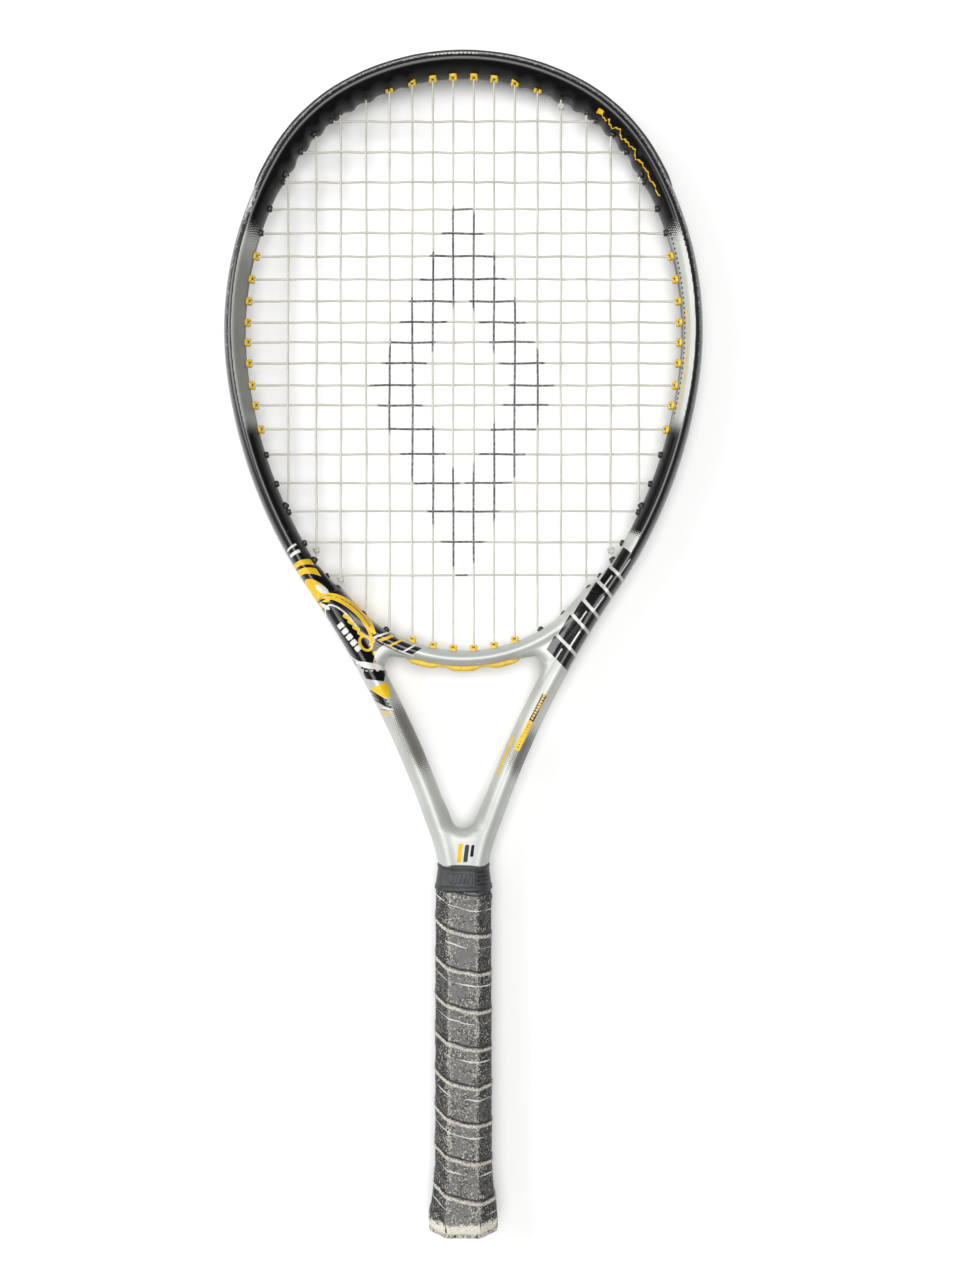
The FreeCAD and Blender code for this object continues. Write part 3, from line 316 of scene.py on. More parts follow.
def polygon_field(x, y, corners):
    """Signed distance from a polygon, negative inside."""
    distance = np.full(x.shape, 1e9)
    winding = np.zeros(x.shape, bool)
    for (ax, ay), (bx, by) in zip(corners, corners[1:] + corners[:1]):
        ex, ey = bx - ax, by - ay
        share = np.clip(((x - ax) * ex + (y - ay) * ey) / (ex * ex + ey * ey), 0.0, 1.0)
        distance = np.minimum(distance, np.hypot(x - ax - ex * share, y - ay - ey * share))
        if ay != by:
            crossed = ((ay > y) != (by > y)) & (x < ax + (y - ay) * ex / ey)
            winding ^= crossed
    return np.where(winding, -distance, distance)


def bridge_spot(angle, reach):
    """Point at an angle from straight down about the bridge's centre."""
    return reach * math.sin(angle), BRIDGE_CENTRE - reach * math.cos(angle)


CROTCH_X = 42.4                  # round corner between the bridge and the arm
CROTCH_Y = 339.3
CROTCH_RADIUS = 6.0


def gusset_corners():
    """Outline of the flared end of the bridge on the right side."""
    high = crossing(HEAD_BEAM, y=GUSSET_TOP)[:2]
    corner = [(CROTCH_X + CROTCH_RADIUS * math.cos(math.radians(turn)),
               CROTCH_Y + CROTCH_RADIUS * math.sin(math.radians(turn))) for turn in range(-28, 113, 14)]
    return [bridge_spot(math.radians(17.5), BRIDGE_BED_RADIUS + BRIDGE_BEAM - 0.3),
            bridge_spot(math.radians(20.0), BRIDGE_BED_RADIUS + 6.0),
            bridge_spot(math.radians(34.0), BRIDGE_BED_RADIUS + 6.0),
            bridge_spot(math.radians(40.0), BRIDGE_BED_RADIUS + 1.0),
            bridge_spot(GUSSET_ANGLE, BRIDGE_BED_RADIUS - 0.4), tuple(high),
            crossing(6.0, y=390.0, lower=True)[:2], crossing(6.0, y=352.0, lower=True)[:2],
            crossing(12.0, y=332.0, lower=True)[:2]] + corner


GUSSET = gusset_corners()


TAPER_TOP = 247.0                # the arms narrow below this height to fit the collar
TAPER = 0.125
YOKE_SIDE = math.atan2(crossing(THROAT_BEAM, y=YOKE_LEVEL + 30.0, lower=True)[0]
                       - crossing(THROAT_BEAM, y=YOKE_LEVEL, lower=True)[0], 30.0)


def untapered(x, y):
    """Offset that a place has before the arms are narrowed above the collar."""
    share = np.clip((TAPER_TOP - y) / (TAPER_TOP - COLLAR_TOP), 0.0, 1.0)
    return np.abs(x) / (1.0 - TAPER * share ** 1.4)


def throat_opening(x, y):
    """Signed distance from the lower end of the throat opening: a wedge with a round bottom."""
    up = y - YOKE_LEVEL
    climb = x * math.sin(YOKE_SIDE) + up * math.cos(YOKE_SIDE)
    side = x * math.cos(YOKE_SIDE) - up * math.sin(YOKE_SIDE) - YOKE_RADIUS
    return np.where(climb > 0.0, side, np.hypot(x, up) - YOKE_RADIUS)


SCALLOP_STOPS = [18.0, 30.0, 43.0, 57.0, 72.0, 84.0, 98.0, 112.0, 127.0, 143.0, 158.0]


def scallop(run):
    """How far the tube's black inner edge runs on into the bed between its string holes."""
    wave = np.interp(run, SCALLOP_STOPS, np.arange(len(SCALLOP_STOPS)))
    lobe = np.sin(np.pi * (wave % 1.0)) ** 2
    return 1.7 * lobe * ramp(run, (24, 0), (40, 1), (140, 1), (156, 0))


def skin_plan(x, y):
    """All that the skin's field needs of a place in the string plane."""
    x = untapered(x, y)
    run, inset = outline_place(x, y)
    reach = np.hypot(x, BRIDGE_CENTRE - y)
    angle = np.arctan2(x, BRIDGE_CENTRE - y)
    flare = polygon_field(x, y, GUSSET)
    yoke = np.maximum(THROAT_BEAM / 2 - inset, y - YOKE_LEVEL - 16.0)
    yoke = soft_max(yoke, -throat_opening(x, y), 3.0)
    return run, inset, reach, angle, flare, yoke


RING_END = math.radians(53.0)     # the bridge ends inside the arms at this angle
EDGE_ROUND = 6.0                 # rounding of the flares' and the yoke's edges
RING_BLEND = 7.0                 # how widely the bridge blends into the tube,
PLATE_BLEND = 3.0                # and the flares and the yoke into both
COLLAR_GAP = 0.8                 # the skin ends this far below the collar's top


def skin_field(plan, y, z):
    """Signed field of the frame: hoop, arms, bridge, its flares and the yoke, less the groove."""
    run, inset, reach, angle, flare, yoke = plan
    z = np.abs(z)
    beam = beam_at(run)
    lip = scallop(run) * np.clip((inset - beam * 0.7) / (beam * 0.3), 0.0, 1.0)
    tube = oval_field(inset - beam / 2 - lip, z, beam / 2, depth_at(run) / 2)
    ring = oval_field(reach - BRIDGE_BED_RADIUS - BRIDGE_BEAM / 2, z, BRIDGE_BEAM / 2, BRIDGE_DEPTH / 2)
    ring = np.maximum(ring, (angle - RING_END) * reach)
    plate = soft_max(flare, z - GUSSET_HALF_DEPTH, EDGE_ROUND)
    face = YOKE_HALF_DEPTH - 0.6 * np.maximum(0.0, y - YOKE_LEVEL + 8.0)
    block = soft_max(yoke, z - face, EDGE_ROUND)
    whole = soft_min(soft_min(tube, ring, RING_BLEND), plate, PLATE_BLEND)
    whole = soft_min(whole, block, PLATE_BLEND)
    groove = np.maximum(np.maximum(inset - GROOVE_DEPTH, z - GROOVE_HALF), run - GROOVE_END)
    whole = soft_max(whole, -groove, 0.5)
    return np.maximum(whole, COLLAR_TOP - COLLAR_GAP - y)


def surface_net(values):
    """Quads around the level set of a grid of values, and their points in grid steps."""
    inside = values < 0
    shape = [n - 1 for n in values.shape]
    corners = [(a, b, c) for a in (0, 1) for b in (0, 1) for c in (0, 1)]
    count = np.zeros(shape, np.int8)
    for a, b, c in corners:
        count += inside[a:shape[0] + a, b:shape[1] + b, c:shape[2] + c]
    cells = np.argwhere((count > 0) & (count < 8))
    number = np.full(shape, -1, np.int64)
    number[tuple(cells.T)] = np.arange(len(cells))
    total = np.zeros((len(cells), 3))
    hits = np.zeros(len(cells))
    for first in corners:
        for axis in range(3):
            if first[axis]:
                continue
            step = np.eye(3, dtype=int)[axis]
            near = values[tuple((cells + first).T)]
            far = values[tuple((cells + first + step).T)]
            crossed = (near < 0) != (far < 0)
            share = np.where(crossed, near / np.where(crossed, near - far, 1.0), 0.0)
            total += crossed[:, None] * (np.array(first) + share[:, None] * step)
            hits += crossed
    quads = []
    for axis in range(3):
        one, two = np.eye(3, dtype=int)[(axis + 1) % 3], np.eye(3, dtype=int)[(axis + 2) % 3]
        low = [slice(1, -1)] * 3
        high = [slice(1, -1)] * 3
        low[axis] = slice(0, -1)
        high[axis] = slice(1, None)
        start = inside[tuple(low)]
        changed = np.argwhere(start != inside[tuple(high)])
        leaving = start[tuple(changed.T)]
        place = changed + one + two
        ring = [number[tuple((place - shift).T)] for shift in (0 * one, one, one + two, two)]
        quad = np.stack(ring, axis=1)
        quads.append(np.where(leaving[:, None], quad, quad[:, ::-1]))
    return cells + total / hits[:, None], np.concatenate(quads)


SKIN_STEP = 0.8                   # grid step of the painted frame's mesh


def frame_points(step):
    """Points and quads of the whole painted frame, every point drawn onto the exact field."""
    xs = (np.arange(int(146.0 / step) + 1) + 0.5) * step
    ys = np.arange(COLLAR_TOP - 4.0, LENGTH + 2.0, step)
    zs = (np.arange(int(14.5 / step) + 1) + 0.5) * step
    plan = skin_plan(*np.meshgrid(xs, ys, indexing="ij"))
    plan = [part[:, :, None] for part in plan]
    quarter = skin_field(plan, ys[None, :, None], zs[None, None, :])
    half = np.concatenate([quarter[:, :, ::-1], quarter], axis=2)
    cells, quads = surface_net(np.concatenate([half[::-1], half], axis=0))
    points = cells * step + np.array([-xs[-1], ys[0], -zs[-1]])
    for _ in range(3):
        plan = skin_plan(points[:, 0], points[:, 1])
        value = skin_field(plan, points[:, 1], points[:, 2])
        slope = np.zeros(points.shape)
        nudge = 0.05
        for axis in range(3):
            moved = points.copy()
            moved[:, axis] += nudge
            there = skin_field(skin_plan(moved[:, 0], moved[:, 1]), moved[:, 1], moved[:, 2])
            slope[:, axis] = (there - value) / nudge
        steepness = np.maximum((slope ** 2).sum(axis=1), 0.05)
        move = (value / steepness)[:, None] * slope
        length = np.linalg.norm(move, axis=1)
        move *= np.minimum(1.0, 0.4 * step / np.maximum(length, 1e-9))[:, None]
        points -= move
    return points, quads


# ---- paint scheme -------------------------------------------------------------------------------
BARE = -9.0                       # value of a colour's or the ink's field where there is none


class Scheme:
    """Layers of paint as signed fields in millimetres, positive inside a colour."""

    def __init__(self, count):
        self.fields = {colour: np.full(count, BARE) for colour in ("black", "yellow", "white")}

    def add(self, colour, field):
        """Paint one shape, given as a signed distance, over what is there. None bares the base coat."""
        for name, values in self.fields.items():
            if name == colour:
                np.maximum(values, -field, out=values)
            else:
                np.minimum(values, field, out=values)


def segment_field(x, y, ax, ay, bx, by, half):
    """Signed distance from a bar with round ends."""
    ex, ey = bx - ax, by - ay
    share = np.clip(((x - ax) * ex + (y - ay) * ey) / (ex * ex + ey * ey), 0.0, 1.0)
    return np.hypot(x - ax - ex * share, y - ay - ey * share) - half


def turned(x, y, cx, cy, angle):
    """Coordinates about a centre, turned by an angle in degrees."""
    c, s = math.cos(math.radians(angle)), math.sin(math.radians(angle))
    return (x - cx) * c + (y - cy) * s, -(x - cx) * s + (y - cy) * c


def leaf_field(x, y, cx, cy, half_long, half_wide, angle):
    """Signed distance, nearly, from an oval leaf."""
    along, across = turned(x, y, cx, cy, angle)
    return oval_field(along, across, half_long, half_wide)


def box_field(x, y, half_x, half_y, corner=0.3):
    """Signed distance from a box about the origin."""
    dx = np.abs(x) - half_x + corner
    dy = np.abs(y) - half_y + corner
    return np.hypot(np.maximum(dx, 0), np.maximum(dy, 0)) + np.minimum(np.maximum(dx, dy), 0) - corner


def within(value, low, high):
    """Signed distance from a range."""
    return np.maximum(low - value, value - high)


def shared(*fields):
    """Signed field of the area that all the shapes cover."""
    return np.maximum.reduce(fields)


SHOULDER_X = 20.0                 # the shoulders' marks keep at least this far from the middle


def left_shoulder(paint, x, y, run, inset):
    """Yellow, white and black bands that sweep over the left shoulder onto the bridge."""
    paint.add("black", shared(within(run, 380.0, 474.0), x + SHOULDER_X, inset - 30.0))
    sweep = y + 0.035 * (x + 92.0) ** 2 - 4.0
    for level, half in ((410.5, 0.7), (405.6, 1.1)):
        arch = np.abs(sweep - level) - half
        paint.add("white", shared(arch, within(x, -110.0, -90.0), within(inset, 2.0, 9.0)))
    for level, half in ((398.0, 1.6), (392.6, 1.8)):
        arch = np.abs(sweep - level) - half
        paint.add("yellow", shared(arch, within(x, -104.0, -84.0), inset - 11.5))
    paint.add("yellow", leaf_field(x, y, -87.2, 384.6, 9.6, 4.6, -38.0))
    paint.add("white", leaf_field(x, y, -84.4, 385.4, 4.2, 1.9, -30.0))
    paint.add("yellow", shared(leaf_field(x, y, -89.8, 381.0, 9.0, 3.6, -62.0), inset - 6.5))
    paint.add("black", segment_field(x, y, -92.0, 375.6, -79.0, 381.4, 0.7))
    paint.add("yellow", shared(leaf_field(x, y, -69.5, 367.0, 21.0, 10.6, -42.0),
                               -leaf_field(x, y, -72.0, 364.6, 20.0, 9.4, -43.0)))
    paint.add("black", np.abs(leaf_field(x, y, -70.6, 366.0, 20.4, 9.9, -42.5)) - 0.28)
    paint.add("white", leaf_field(x, y, -82.6, 375.0, 3.4, 1.1, -28.0))
    rim = np.abs(leaf_field(x, y, -70.0, 358.8, 20.0, 7.6, -56.0)) - 0.45
    paint.add("white", shared(rim, x + 62.0))
    for along in np.arange(4) * 4.3:
        ax, ay = -71.0 + along * 0.66, 369.5 - along * 0.78
        paint.add("yellow", segment_field(x, y, ax, ay, ax + 2.4, ay - 1.3, 1.0))
    for along in np.arange(5) * 4.2:
        cx, cy = turned(x, y, -73.2 + along * 0.62, 363.6 - along * 0.8, -52.0)
        paint.add("white", box_field(cx, cy, 1.5, 1.9))
    paint.add("yellow", np.abs(leaf_field(x, y, -58.4, 353.2, 4.6, 3.2, -60.0)) - 0.7)
    paint.add("yellow", leaf_field(x, y, -52.6, 347.2, 1.6, 1.2, 0.0))
    paint.add("yellow", segment_field(x, y, -52.8, 346.0, -53.6, 341.4, 0.35))
    lower_left_arm(paint, x, y, run, inset)
    paint.add(None, leaf_field(x, y, -46.5, 347.0, 7.5, 5.0, 35.0))
    bridge_end(paint, x, y)


def lower_left_arm(paint, x, y, run, inset):
    """White sweep, dark block, yellow wedge and thin lines under the left shoulder."""
    arm = x + SHOULDER_X
    paint.add("white", shared(leaf_field(x, y, -55.5, 339.6, 9.5, 1.8, -12.0), arm))
    paint.add(None, shared(within(run, 470.0, 482.0), arm, inset - 3.2))
    cx, cy = turned(x, y, -53.4, 334.4, -8.0)
    paint.add("black", shared(box_field(cx, cy, 6.4, 3.2), 2.6 - inset))
    for k in range(3):
        paint.add("white", segment_field(x, y, -58.5 + 3.2 * k, 336.9, -57.3 + 3.2 * k, 336.6, 0.3))
    paint.add("yellow", polygon_field(x, y, [(-55.0, 326.4), (-46.2, 329.9), (-44.4, 325.6),
                                             (-43.8, 320.2), (-50.0, 321.4), (-53.8, 323.8)]))
    for dx in (0.0, 1.3, 2.6):
        low, high = -2.0 * dx, -1.6 * dx
        paint.add("black", segment_field(x, y, -55.6 + dx, 324.4 + low, -46.0 + dx, 319.0 + high, 0.7))
        paint.add("white", segment_field(x, y, -51.0 + dx, 319.8 + low, -44.6 + dx, 317.6 + high, 0.5))
    paint.add("black", segment_field(x, y, -49.4, 313.6, -42.6, 312.8, 0.25))
    paint.add("yellow", segment_field(x, y, -49.4, 311.6, -43.0, 310.8, 0.45))
    paint.add("yellow", segment_field(x, y, -49.0, 309.9, -45.0, 309.5, 0.2))


def bridge_end(paint, x, y):
    """Dark slashed band on the bridge's left end."""
    reach = np.hypot(x, BRIDGE_CENTRE - y) - BRIDGE_BED_RADIUS
    angle = np.degrees(np.arctan2(-x, BRIDGE_CENTRE - y))
    per_degree = 1.6
    lean = angle - 0.5 * reach
    paint.add("black", shared(within(reach, 1.6, 7.0), within(lean, 14.5, 30.0) * per_degree))
    for middle, half, colour in ((17.6, 0.63, "white"), (22.8, 0.77, "yellow"),
                                 (26.6, 1.12, "yellow"), (28.8, 0.7, "white")):
        paint.add(colour, shared(np.abs((lean - middle) * per_degree) - half, within(reach, 0.8, 7.4)))
    paint.add("white", shared(np.abs(reach - 7.7) - 0.3, within(angle, 17.0, 33.0) * per_degree))
    paint.add("black", shared(np.abs(reach - 8.4) - 0.25, within(angle, 19.0, 32.0) * per_degree))


def right_shoulder(paint, x, y, run, inset):
    """Row of slanted black blocks with thin slits on the right shoulder."""
    right = SHOULDER_X - x
    lean = run + 0.30 * inset
    low = 396.0
    for k, size in enumerate([15.4, 11.4, 13.8, 10.4, 14.6, 11.0]):
        block = shared(within(lean, low, low + size - 1.4), within(inset, 1.0, 11.6 + 1.35 * k), right)
        paint.add("black", block)
        slit = np.abs(inset - (4.6 + 3.4 * (k % 2) + 0.5 * k) - 0.05 * (lean - low)) - 0.45
        paint.add(None, shared(slit, within(lean, low + 2.2, low + size + 1.0), right))
        low += size + 0.6
    bar_x, bar_y = turned(x, y, 40.3, 306.1, 63.0)
    paint.add("yellow", box_field(bar_x, bar_y, 19.0, 1.7))
    paint.add("black", box_field(bar_x - 9.6, bar_y, 9.0, 1.5))
    for along in np.arange(9) * 1.9:
        paint.add("yellow", box_field(bar_x - 2.4 - along, bar_y, 0.5, 0.85, 0.1))
        paint.add("black", box_field(bar_x + 1.6 + along, bar_y, 0.4, 0.8, 0.1))
    paint.add("yellow", shared(np.abs(inset - 12.6) - 0.55, within(run, 523.0, 548.0), right))


def head_marks(paint, x, z, run, inset):
    """Small marks on the head: ticks at the top, a wavy line, dots and a stripe on the right wall."""
    signed = np.where(x < 0, -run, run)
    tick = np.abs(np.mod(signed, 2.4) - 1.2) - 0.7
    paint.add("white", shared(tick, np.abs(inset - 3.9) - 0.65, within(signed, -20.0, 9.0)))
    swell = ramp(signed, (94, 1.5), (120, 0.9), (160, 0.5))
    wave = np.abs(z - 8.4 - swell * (np.sin(signed * 0.74) + 0.5 * np.sin(signed * 1.9))) - 0.5
    wall = 8.0 - inset
    paint.add("yellow", shared(wave, within(signed, 96.0, 163.0), wall))
    paint.add("yellow", shared(np.abs(z - 9.4) - 1.5, within(signed, 93.5, 97.5), wall))
    dot = np.abs(np.mod(signed, 3.2) - 1.6) - 0.8
    paint.add("black", shared(dot, np.abs(z - 6.2) - 1.0, within(signed, 186.0, 318.0), wall))
    stripe = np.abs(z - 9.8 + 0.0011 * (signed - 268.0) ** 2) - 0.45
    paint.add("yellow", shared(stripe, within(signed, 236.0, 304.0), wall))


def emblem(paint, x, y):
    """Three slanted bars above the collar."""
    tilt = x - 0.12 * (y - 225.0)
    paint.add("yellow", box_field(tilt + 2.4, y - 227.6, 1.25, 5.6))
    paint.add("black", box_field(tilt - 1.5, y - 227.4, 1.3, 5.2))
    paint.add("black", box_field(tilt - 4.9, y - 229.0, 1.0, 3.6))


OUTER_BAND = 6.7                  # the outer third of the head stays black all the way round


def frame_fields(points):
    """Everything the frame's paint reads from the mesh."""
    x, y, z = points.T
    run, inset = outline_place(np.abs(x), y)
    left = x < 0
    on_tube = inset < np.where(run < 175.0, 18.0, 13.6)
    coat = ramp(run, (170, 1), (206, 0), (294, 0), (326, 1), (376, 1), (388, 0))
    outer = ramp(run, (392, 1), (402, 0)) * np.clip((OUTER_BAND - inset) / 0.7, 0.0, 1.0)
    coat = np.maximum(coat, outer) * on_tube
    weave = ramp(run, (492, 0), (512, 1), (530, 1), (556, 0)) * ramp(inset, (3, 0), (9, 1))
    weave_right = ramp(run, (506, 0), (526, 1), (536, 1), (552, 0)) * ramp(inset, (4, 1), (12, 0.25))
    weave = np.where(left, weave, weave_right) * (inset < 15.0)
    crest = np.exp(-((inset - 3.2) / 2.6) ** 2)
    gloss = (1.0 - np.clip((inset - 6.0) / 3.0, 0.0, 0.85) * on_tube) * ramp(y, (246, 0.25), (264, 1))
    scuff = crest * ramp(run, (0, 0.8), (120, 0.7), (150, 0.75), (200, 0.7), (300, 0.5), (400, 0.4),
                         (470, 0.1))
    patch = np.exp(-((run - 172.0) / 20.0) ** 2) * np.exp(-((inset - 4.0) / 3.0) ** 2) * left
    scuff = np.maximum(scuff, patch)
    paint = Scheme(len(x))
    left_shoulder(paint, x, y, run, inset)
    right_shoulder(paint, x, y, run, inset)
    head_marks(paint, x, z, run, inset)
    emblem(paint, x, y)
    # Painted shade in the base colour: darkens the left side's silver inner wall, turned from the
    # light, and the head's silver walls towards the string plane and below it.
    left_wall_painted_shade = np.where(left, 0.62, 0.0) * ramp(run, (180, 0), (210, 1), (300, 1), (330, 0))
    low_wall_painted_shade = ramp(z, (1.0, 0.9), (6.5, 0.0)) * ramp(run, (180, 0), (200, 1), (320, 1), (335, 0))
    tint = np.maximum(left_wall_painted_shade, low_wall_painted_shade) * on_tube
    return {"coat": coat, "weave": weave, "scuff": scuff, "gloss": gloss, "tint": tint,
            "run": np.where(left, -run, run), "inset": inset, **paint.fields}


# ---- shader helpers -----------------------------------------------------------------------------
def add_node(tree, kind, inputs, **settings):
    """New shader node, whose inputs are numbers, colours, sockets or fields."""
    node = tree.nodes.new("ShaderNode" + kind)
    for key, value in settings.items():
        setattr(node, key, value)
    for key, value in inputs.items():
        value = value.socket if isinstance(value, Field) else value
        if isinstance(value, bpy.types.NodeSocket):
            tree.links.new(value, node.inputs[key])
        else:
            node.inputs[key].default_value = value
    return node


class Field:
    """A shader value that takes arithmetic with numbers and other values."""

    def __init__(self, tree, socket):
        self.tree = tree
        self.socket = socket

    def math(self, operation, *others):
        """The value put through a math node, with its other operands."""
        node = add_node(self.tree, "Math", dict(enumerate((self, *others))), operation=operation)
        return Field(self.tree, node.outputs[0])

    def __add__(self, other):
        """Sum with a number or another value."""
        return self.math("ADD", other)

    def __sub__(self, other):
        """Difference from a number or another value."""
        return self.math("SUBTRACT", other)

    def __mul__(self, other):
        """Product with a number or another value."""
        return self.math("MULTIPLY", other)

    def step(self, low, high):
        """0 below low, 1 above high, smooth between."""
        node = add_node(self.tree, "MapRange", {"Value": self, "From Min": low, "From Max": high},
                        interpolation_type="SMOOTHSTEP")
        return Field(self.tree, node.outputs["Result"])

    def highest(self, other):
        """The larger of two values."""
        return self.math("MAXIMUM", other)


class Finish:
    """One procedural material, with its pattern coordinates in millimetres."""

    def __init__(self, name, **sockets):
        self.material = bpy.data.materials.new(name)
        self.material.use_nodes = True
        self.tree = self.material.node_tree
        self.shader = self.tree.nodes["Principled BSDF"]
        for key, value in sockets.items():
            self.shader.inputs[key.replace("_", " ")].default_value = value
        here = add_node(self.tree, "TexCoord", {}).outputs["Object"]
        scale = add_node(self.tree, "VectorMath", {0: here, "Scale": 1000.0}, operation="SCALE")
        self.place = scale.outputs[0]

    def value(self, attribute):
        """A field stored on the mesh."""
        node = add_node(self.tree, "Attribute", {}, attribute_name=attribute)
        return Field(self.tree, node.outputs["Fac"])

    def axes(self):
        """The three pattern coordinates."""
        node = add_node(self.tree, "SeparateXYZ", {0: self.place})
        return [Field(self.tree, output) for output in node.outputs]

    def vector(self, *fields):
        """A vector from three values."""
        return add_node(self.tree, "CombineXYZ", dict(enumerate(fields))).outputs[0]

    def noise(self, size, detail=3.0, rough=0.55, place=None, shift=0.0):
        """Soft noise with features of a size in millimetres."""
        inputs = {"Vector": place or self.place, "W": shift, "Scale": 1.0 / size, "Detail": detail,
                  "Roughness": rough}
        node = add_node(self.tree, "TexNoise", inputs, noise_dimensions="4D")
        return Field(self.tree, node.outputs["Fac"])

    def spots(self, size):
        """Distance from scattered points, about a size apart in millimetres."""
        inputs = {"Vector": self.place, "Scale": 1.0 / size}
        node = add_node(self.tree, "TexVoronoi", inputs, voronoi_dimensions="4D")
        return Field(self.tree, node.outputs["Distance"])

    def mix(self, factor, low, high):
        """Colour between two colours."""
        low, high = [(*c, 1.0) if isinstance(c, tuple) else c for c in (low, high)]
        return add_node(self.tree, "Mix", {0: factor, 6: low, 7: high}, data_type="RGBA").outputs[2]

    def wire(self, key, value):
        """Drive one of the shader's sockets."""
        socket = value.socket if isinstance(value, Field) else value
        self.tree.links.new(socket, self.shader.inputs[key])

    def done(self, colour, rough, height, distance, strength):
        """The material with its colour, roughness and relief, whose height is in millimetres."""
        self.wire("Base Color", colour)
        self.wire("Roughness", rough)
        inputs = {"Distance": distance / 1000.0, "Strength": strength, "Height": height}
        self.wire("Normal", add_node(self.tree, "Bump", inputs).outputs[0])
        return self.material


def between(field, low, high):
    """Scale a 0 to 1 value into a range."""
    return field * (high - low) + low


# ---- finishes -----------------------------------------------------------------------------------
def frame_finish():
    """Clear-coated paint: silver and black coats, woven fades, graphics, scuffs and chips, and painted
    shade on the head's silver walls.
    """
    made = Finish("frame_paint", Coat_Roughness=0.13)
    run, inset = made.value("run"), made.value("inset")
    _, _, up = made.axes()
    along = made.vector(run, inset * 5.0, up * 2.0)
    streak = made.noise(9.0, 4.0, 0.6, made.vector(run * 0.35, inset * 2.2, up * 2.0))
    cloth = (run * 3.9).math("SINE") * (inset * 3.9).math("SINE")
    grain = made.noise(0.7, 2.0, 0.5)
    dither = cloth * 0.28 + grain * 0.5 + 0.25
    coat = (made.value("coat") * 1.5 - 0.25 - dither).step(-0.14, 0.14)
    weave = (made.value("weave") * 0.95 - dither * 0.9).step(-0.1, 0.2)
    pearl = made.noise(26.0, 2.0, 0.5)
    base = made.mix(pearl.step(0.3, 0.7), SILVER, tuple(c * 0.88 for c in SILVER))
    base = made.mix(weave * 0.8, base, (0.11, 0.10, 0.09))
    # Painted shade: darkens the silver walls on the left and low down.
    base = made.mix(made.value("tint"), base, (0.085, 0.078, 0.068))
    base = made.mix(coat, base, BLACK)
    print_grain = (grain - 0.5) * 0.5
    yellow, black, white = [(made.value(colour) + print_grain).step(-0.16, 0.16)
                            for colour in ("yellow", "black", "white")]
    warm = made.mix(made.noise(6.0, 2.0, 0.5, shift=4.0).step(0.35, 0.65), YELLOW, DEEP_YELLOW)
    base = made.mix(black, base, BLACK)
    base = made.mix(yellow, base, warm)
    base = made.mix(white, base, WHITE)
    scuff_amount = made.value("scuff")
    scratch = made.noise(2.2, 5.0, 0.7, along, 2.0)
    scuff = (scratch + scuff_amount * 0.34 - 0.77).step(0.0, 0.05)
    haze = (made.noise(5.0, 4.0, 0.65, along, 7.0) + scuff_amount * 0.42 - 0.80).step(0.0, 0.25) * 0.55
    base = made.mix(haze, base, (0.16, 0.16, 0.155))
    chip = (made.noise(1.6, 4.0, 0.62, shift=9.0) + scuff_amount * 0.12 - 0.76).step(0.0, 0.02)
    wear = scuff.highest(chip)
    base = made.mix(wear, base, (0.50, 0.50, 0.48))
    dark = coat.highest(black)
    made.wire("Metallic", dark.highest(yellow).highest(white) * -0.35 + 0.35)
    gloss = made.value("gloss")
    made.wire("Coat Weight", gloss * (dark * 0.48 + 0.08))
    made.wire("Specular IOR Level", gloss * 0.28 + 0.05)
    rough = between(streak, 0.42, 0.56) + wear * 0.2 + haze * 0.2 - dark * 0.18
    marks = yellow.highest(white).highest(black)
    height = wear * -0.6 + made.noise(1.1, 3.0, 0.5) * 0.05 + marks * 0.25
    return made.done(base, rough, height, 0.12, 0.7)


def plastic_finish(name, colour, worn):
    """Moulded plastic with fine grain, dust in its pores and rubbed spots."""
    made = Finish(name, Coat_Weight=0.1, Specular_IOR_Level=0.5)
    dust = made.noise(2.4, 4.0, 0.6)
    rub = (made.noise(1.3, 4.0, 0.6, shift=3.0)).step(0.60, 0.72)
    tone = made.mix(dust.step(0.3, 0.75), tuple(c * 0.72 for c in colour), colour)
    skin = made.mix(rub * worn, tone, (0.55, 0.54, 0.50))
    return made.done(skin, between(dust, 0.38, 0.63), made.noise(0.35, 3.0, 0.6), 0.06, 0.6)


def bumper_finish():
    """Black bumper plastic, scraped along its run."""
    made = Finish("bumper_plastic", Coat_Weight=0.0)
    dust = made.noise(3.0, 4.0, 0.6)
    scrape = made.noise(1.8, 5.0, 0.72, shift=5.0)
    dot = made.spots(1.5)
    dots = (dot * -1.0 + 0.13).step(0.0, 0.05) * dust.step(0.45, 0.6)
    light = (scrape - 0.62).step(0.0, 0.08).highest(dots)
    tone = made.mix(dust.step(0.3, 0.7), (0.012, 0.012, 0.012), (0.035, 0.035, 0.034))
    skin = made.mix(light, tone, (0.52, 0.52, 0.50))
    return made.done(skin, between(dust, 0.35, 0.65), scrape * -1.0 + dust * 0.3, 0.25, 0.7)


def string_finish():
    """Ivory string with darker skin in its grain and the printed stencil where it was inked."""
    made = Finish("string_ivory", Specular_IOR_Level=0.5, Coat_Weight=0.12,
                  Subsurface_Weight=0.05, Subsurface_Scale=0.0008)
    x, y, up = made.axes()
    fibre = made.noise(0.5, 3.0, 0.6, made.vector(x, y * 0.35, up))
    dirt = made.noise(14.0, 4.0, 0.6, shift=1.0)
    tone = made.mix(dirt.step(0.35, 0.7), IVORY, (0.44, 0.43, 0.37))
    tone = made.mix(fibre.step(0.55, 0.75) * 0.4, tone, (0.16, 0.155, 0.14))
    ink = (made.value("ink") + (made.noise(3.0, 4.0, 0.6) - 0.5) * 5.0).step(-0.4, 0.7)
    rubbed = made.noise(1.6, 4.0, 0.65, shift=6.0).step(0.36, 0.60)
    skin = made.mix(ink * between(rubbed, 0.55, 1.0), tone, INK)
    return made.done(skin, between(fibre, 0.28, 0.5), fibre, 0.05, 0.5)


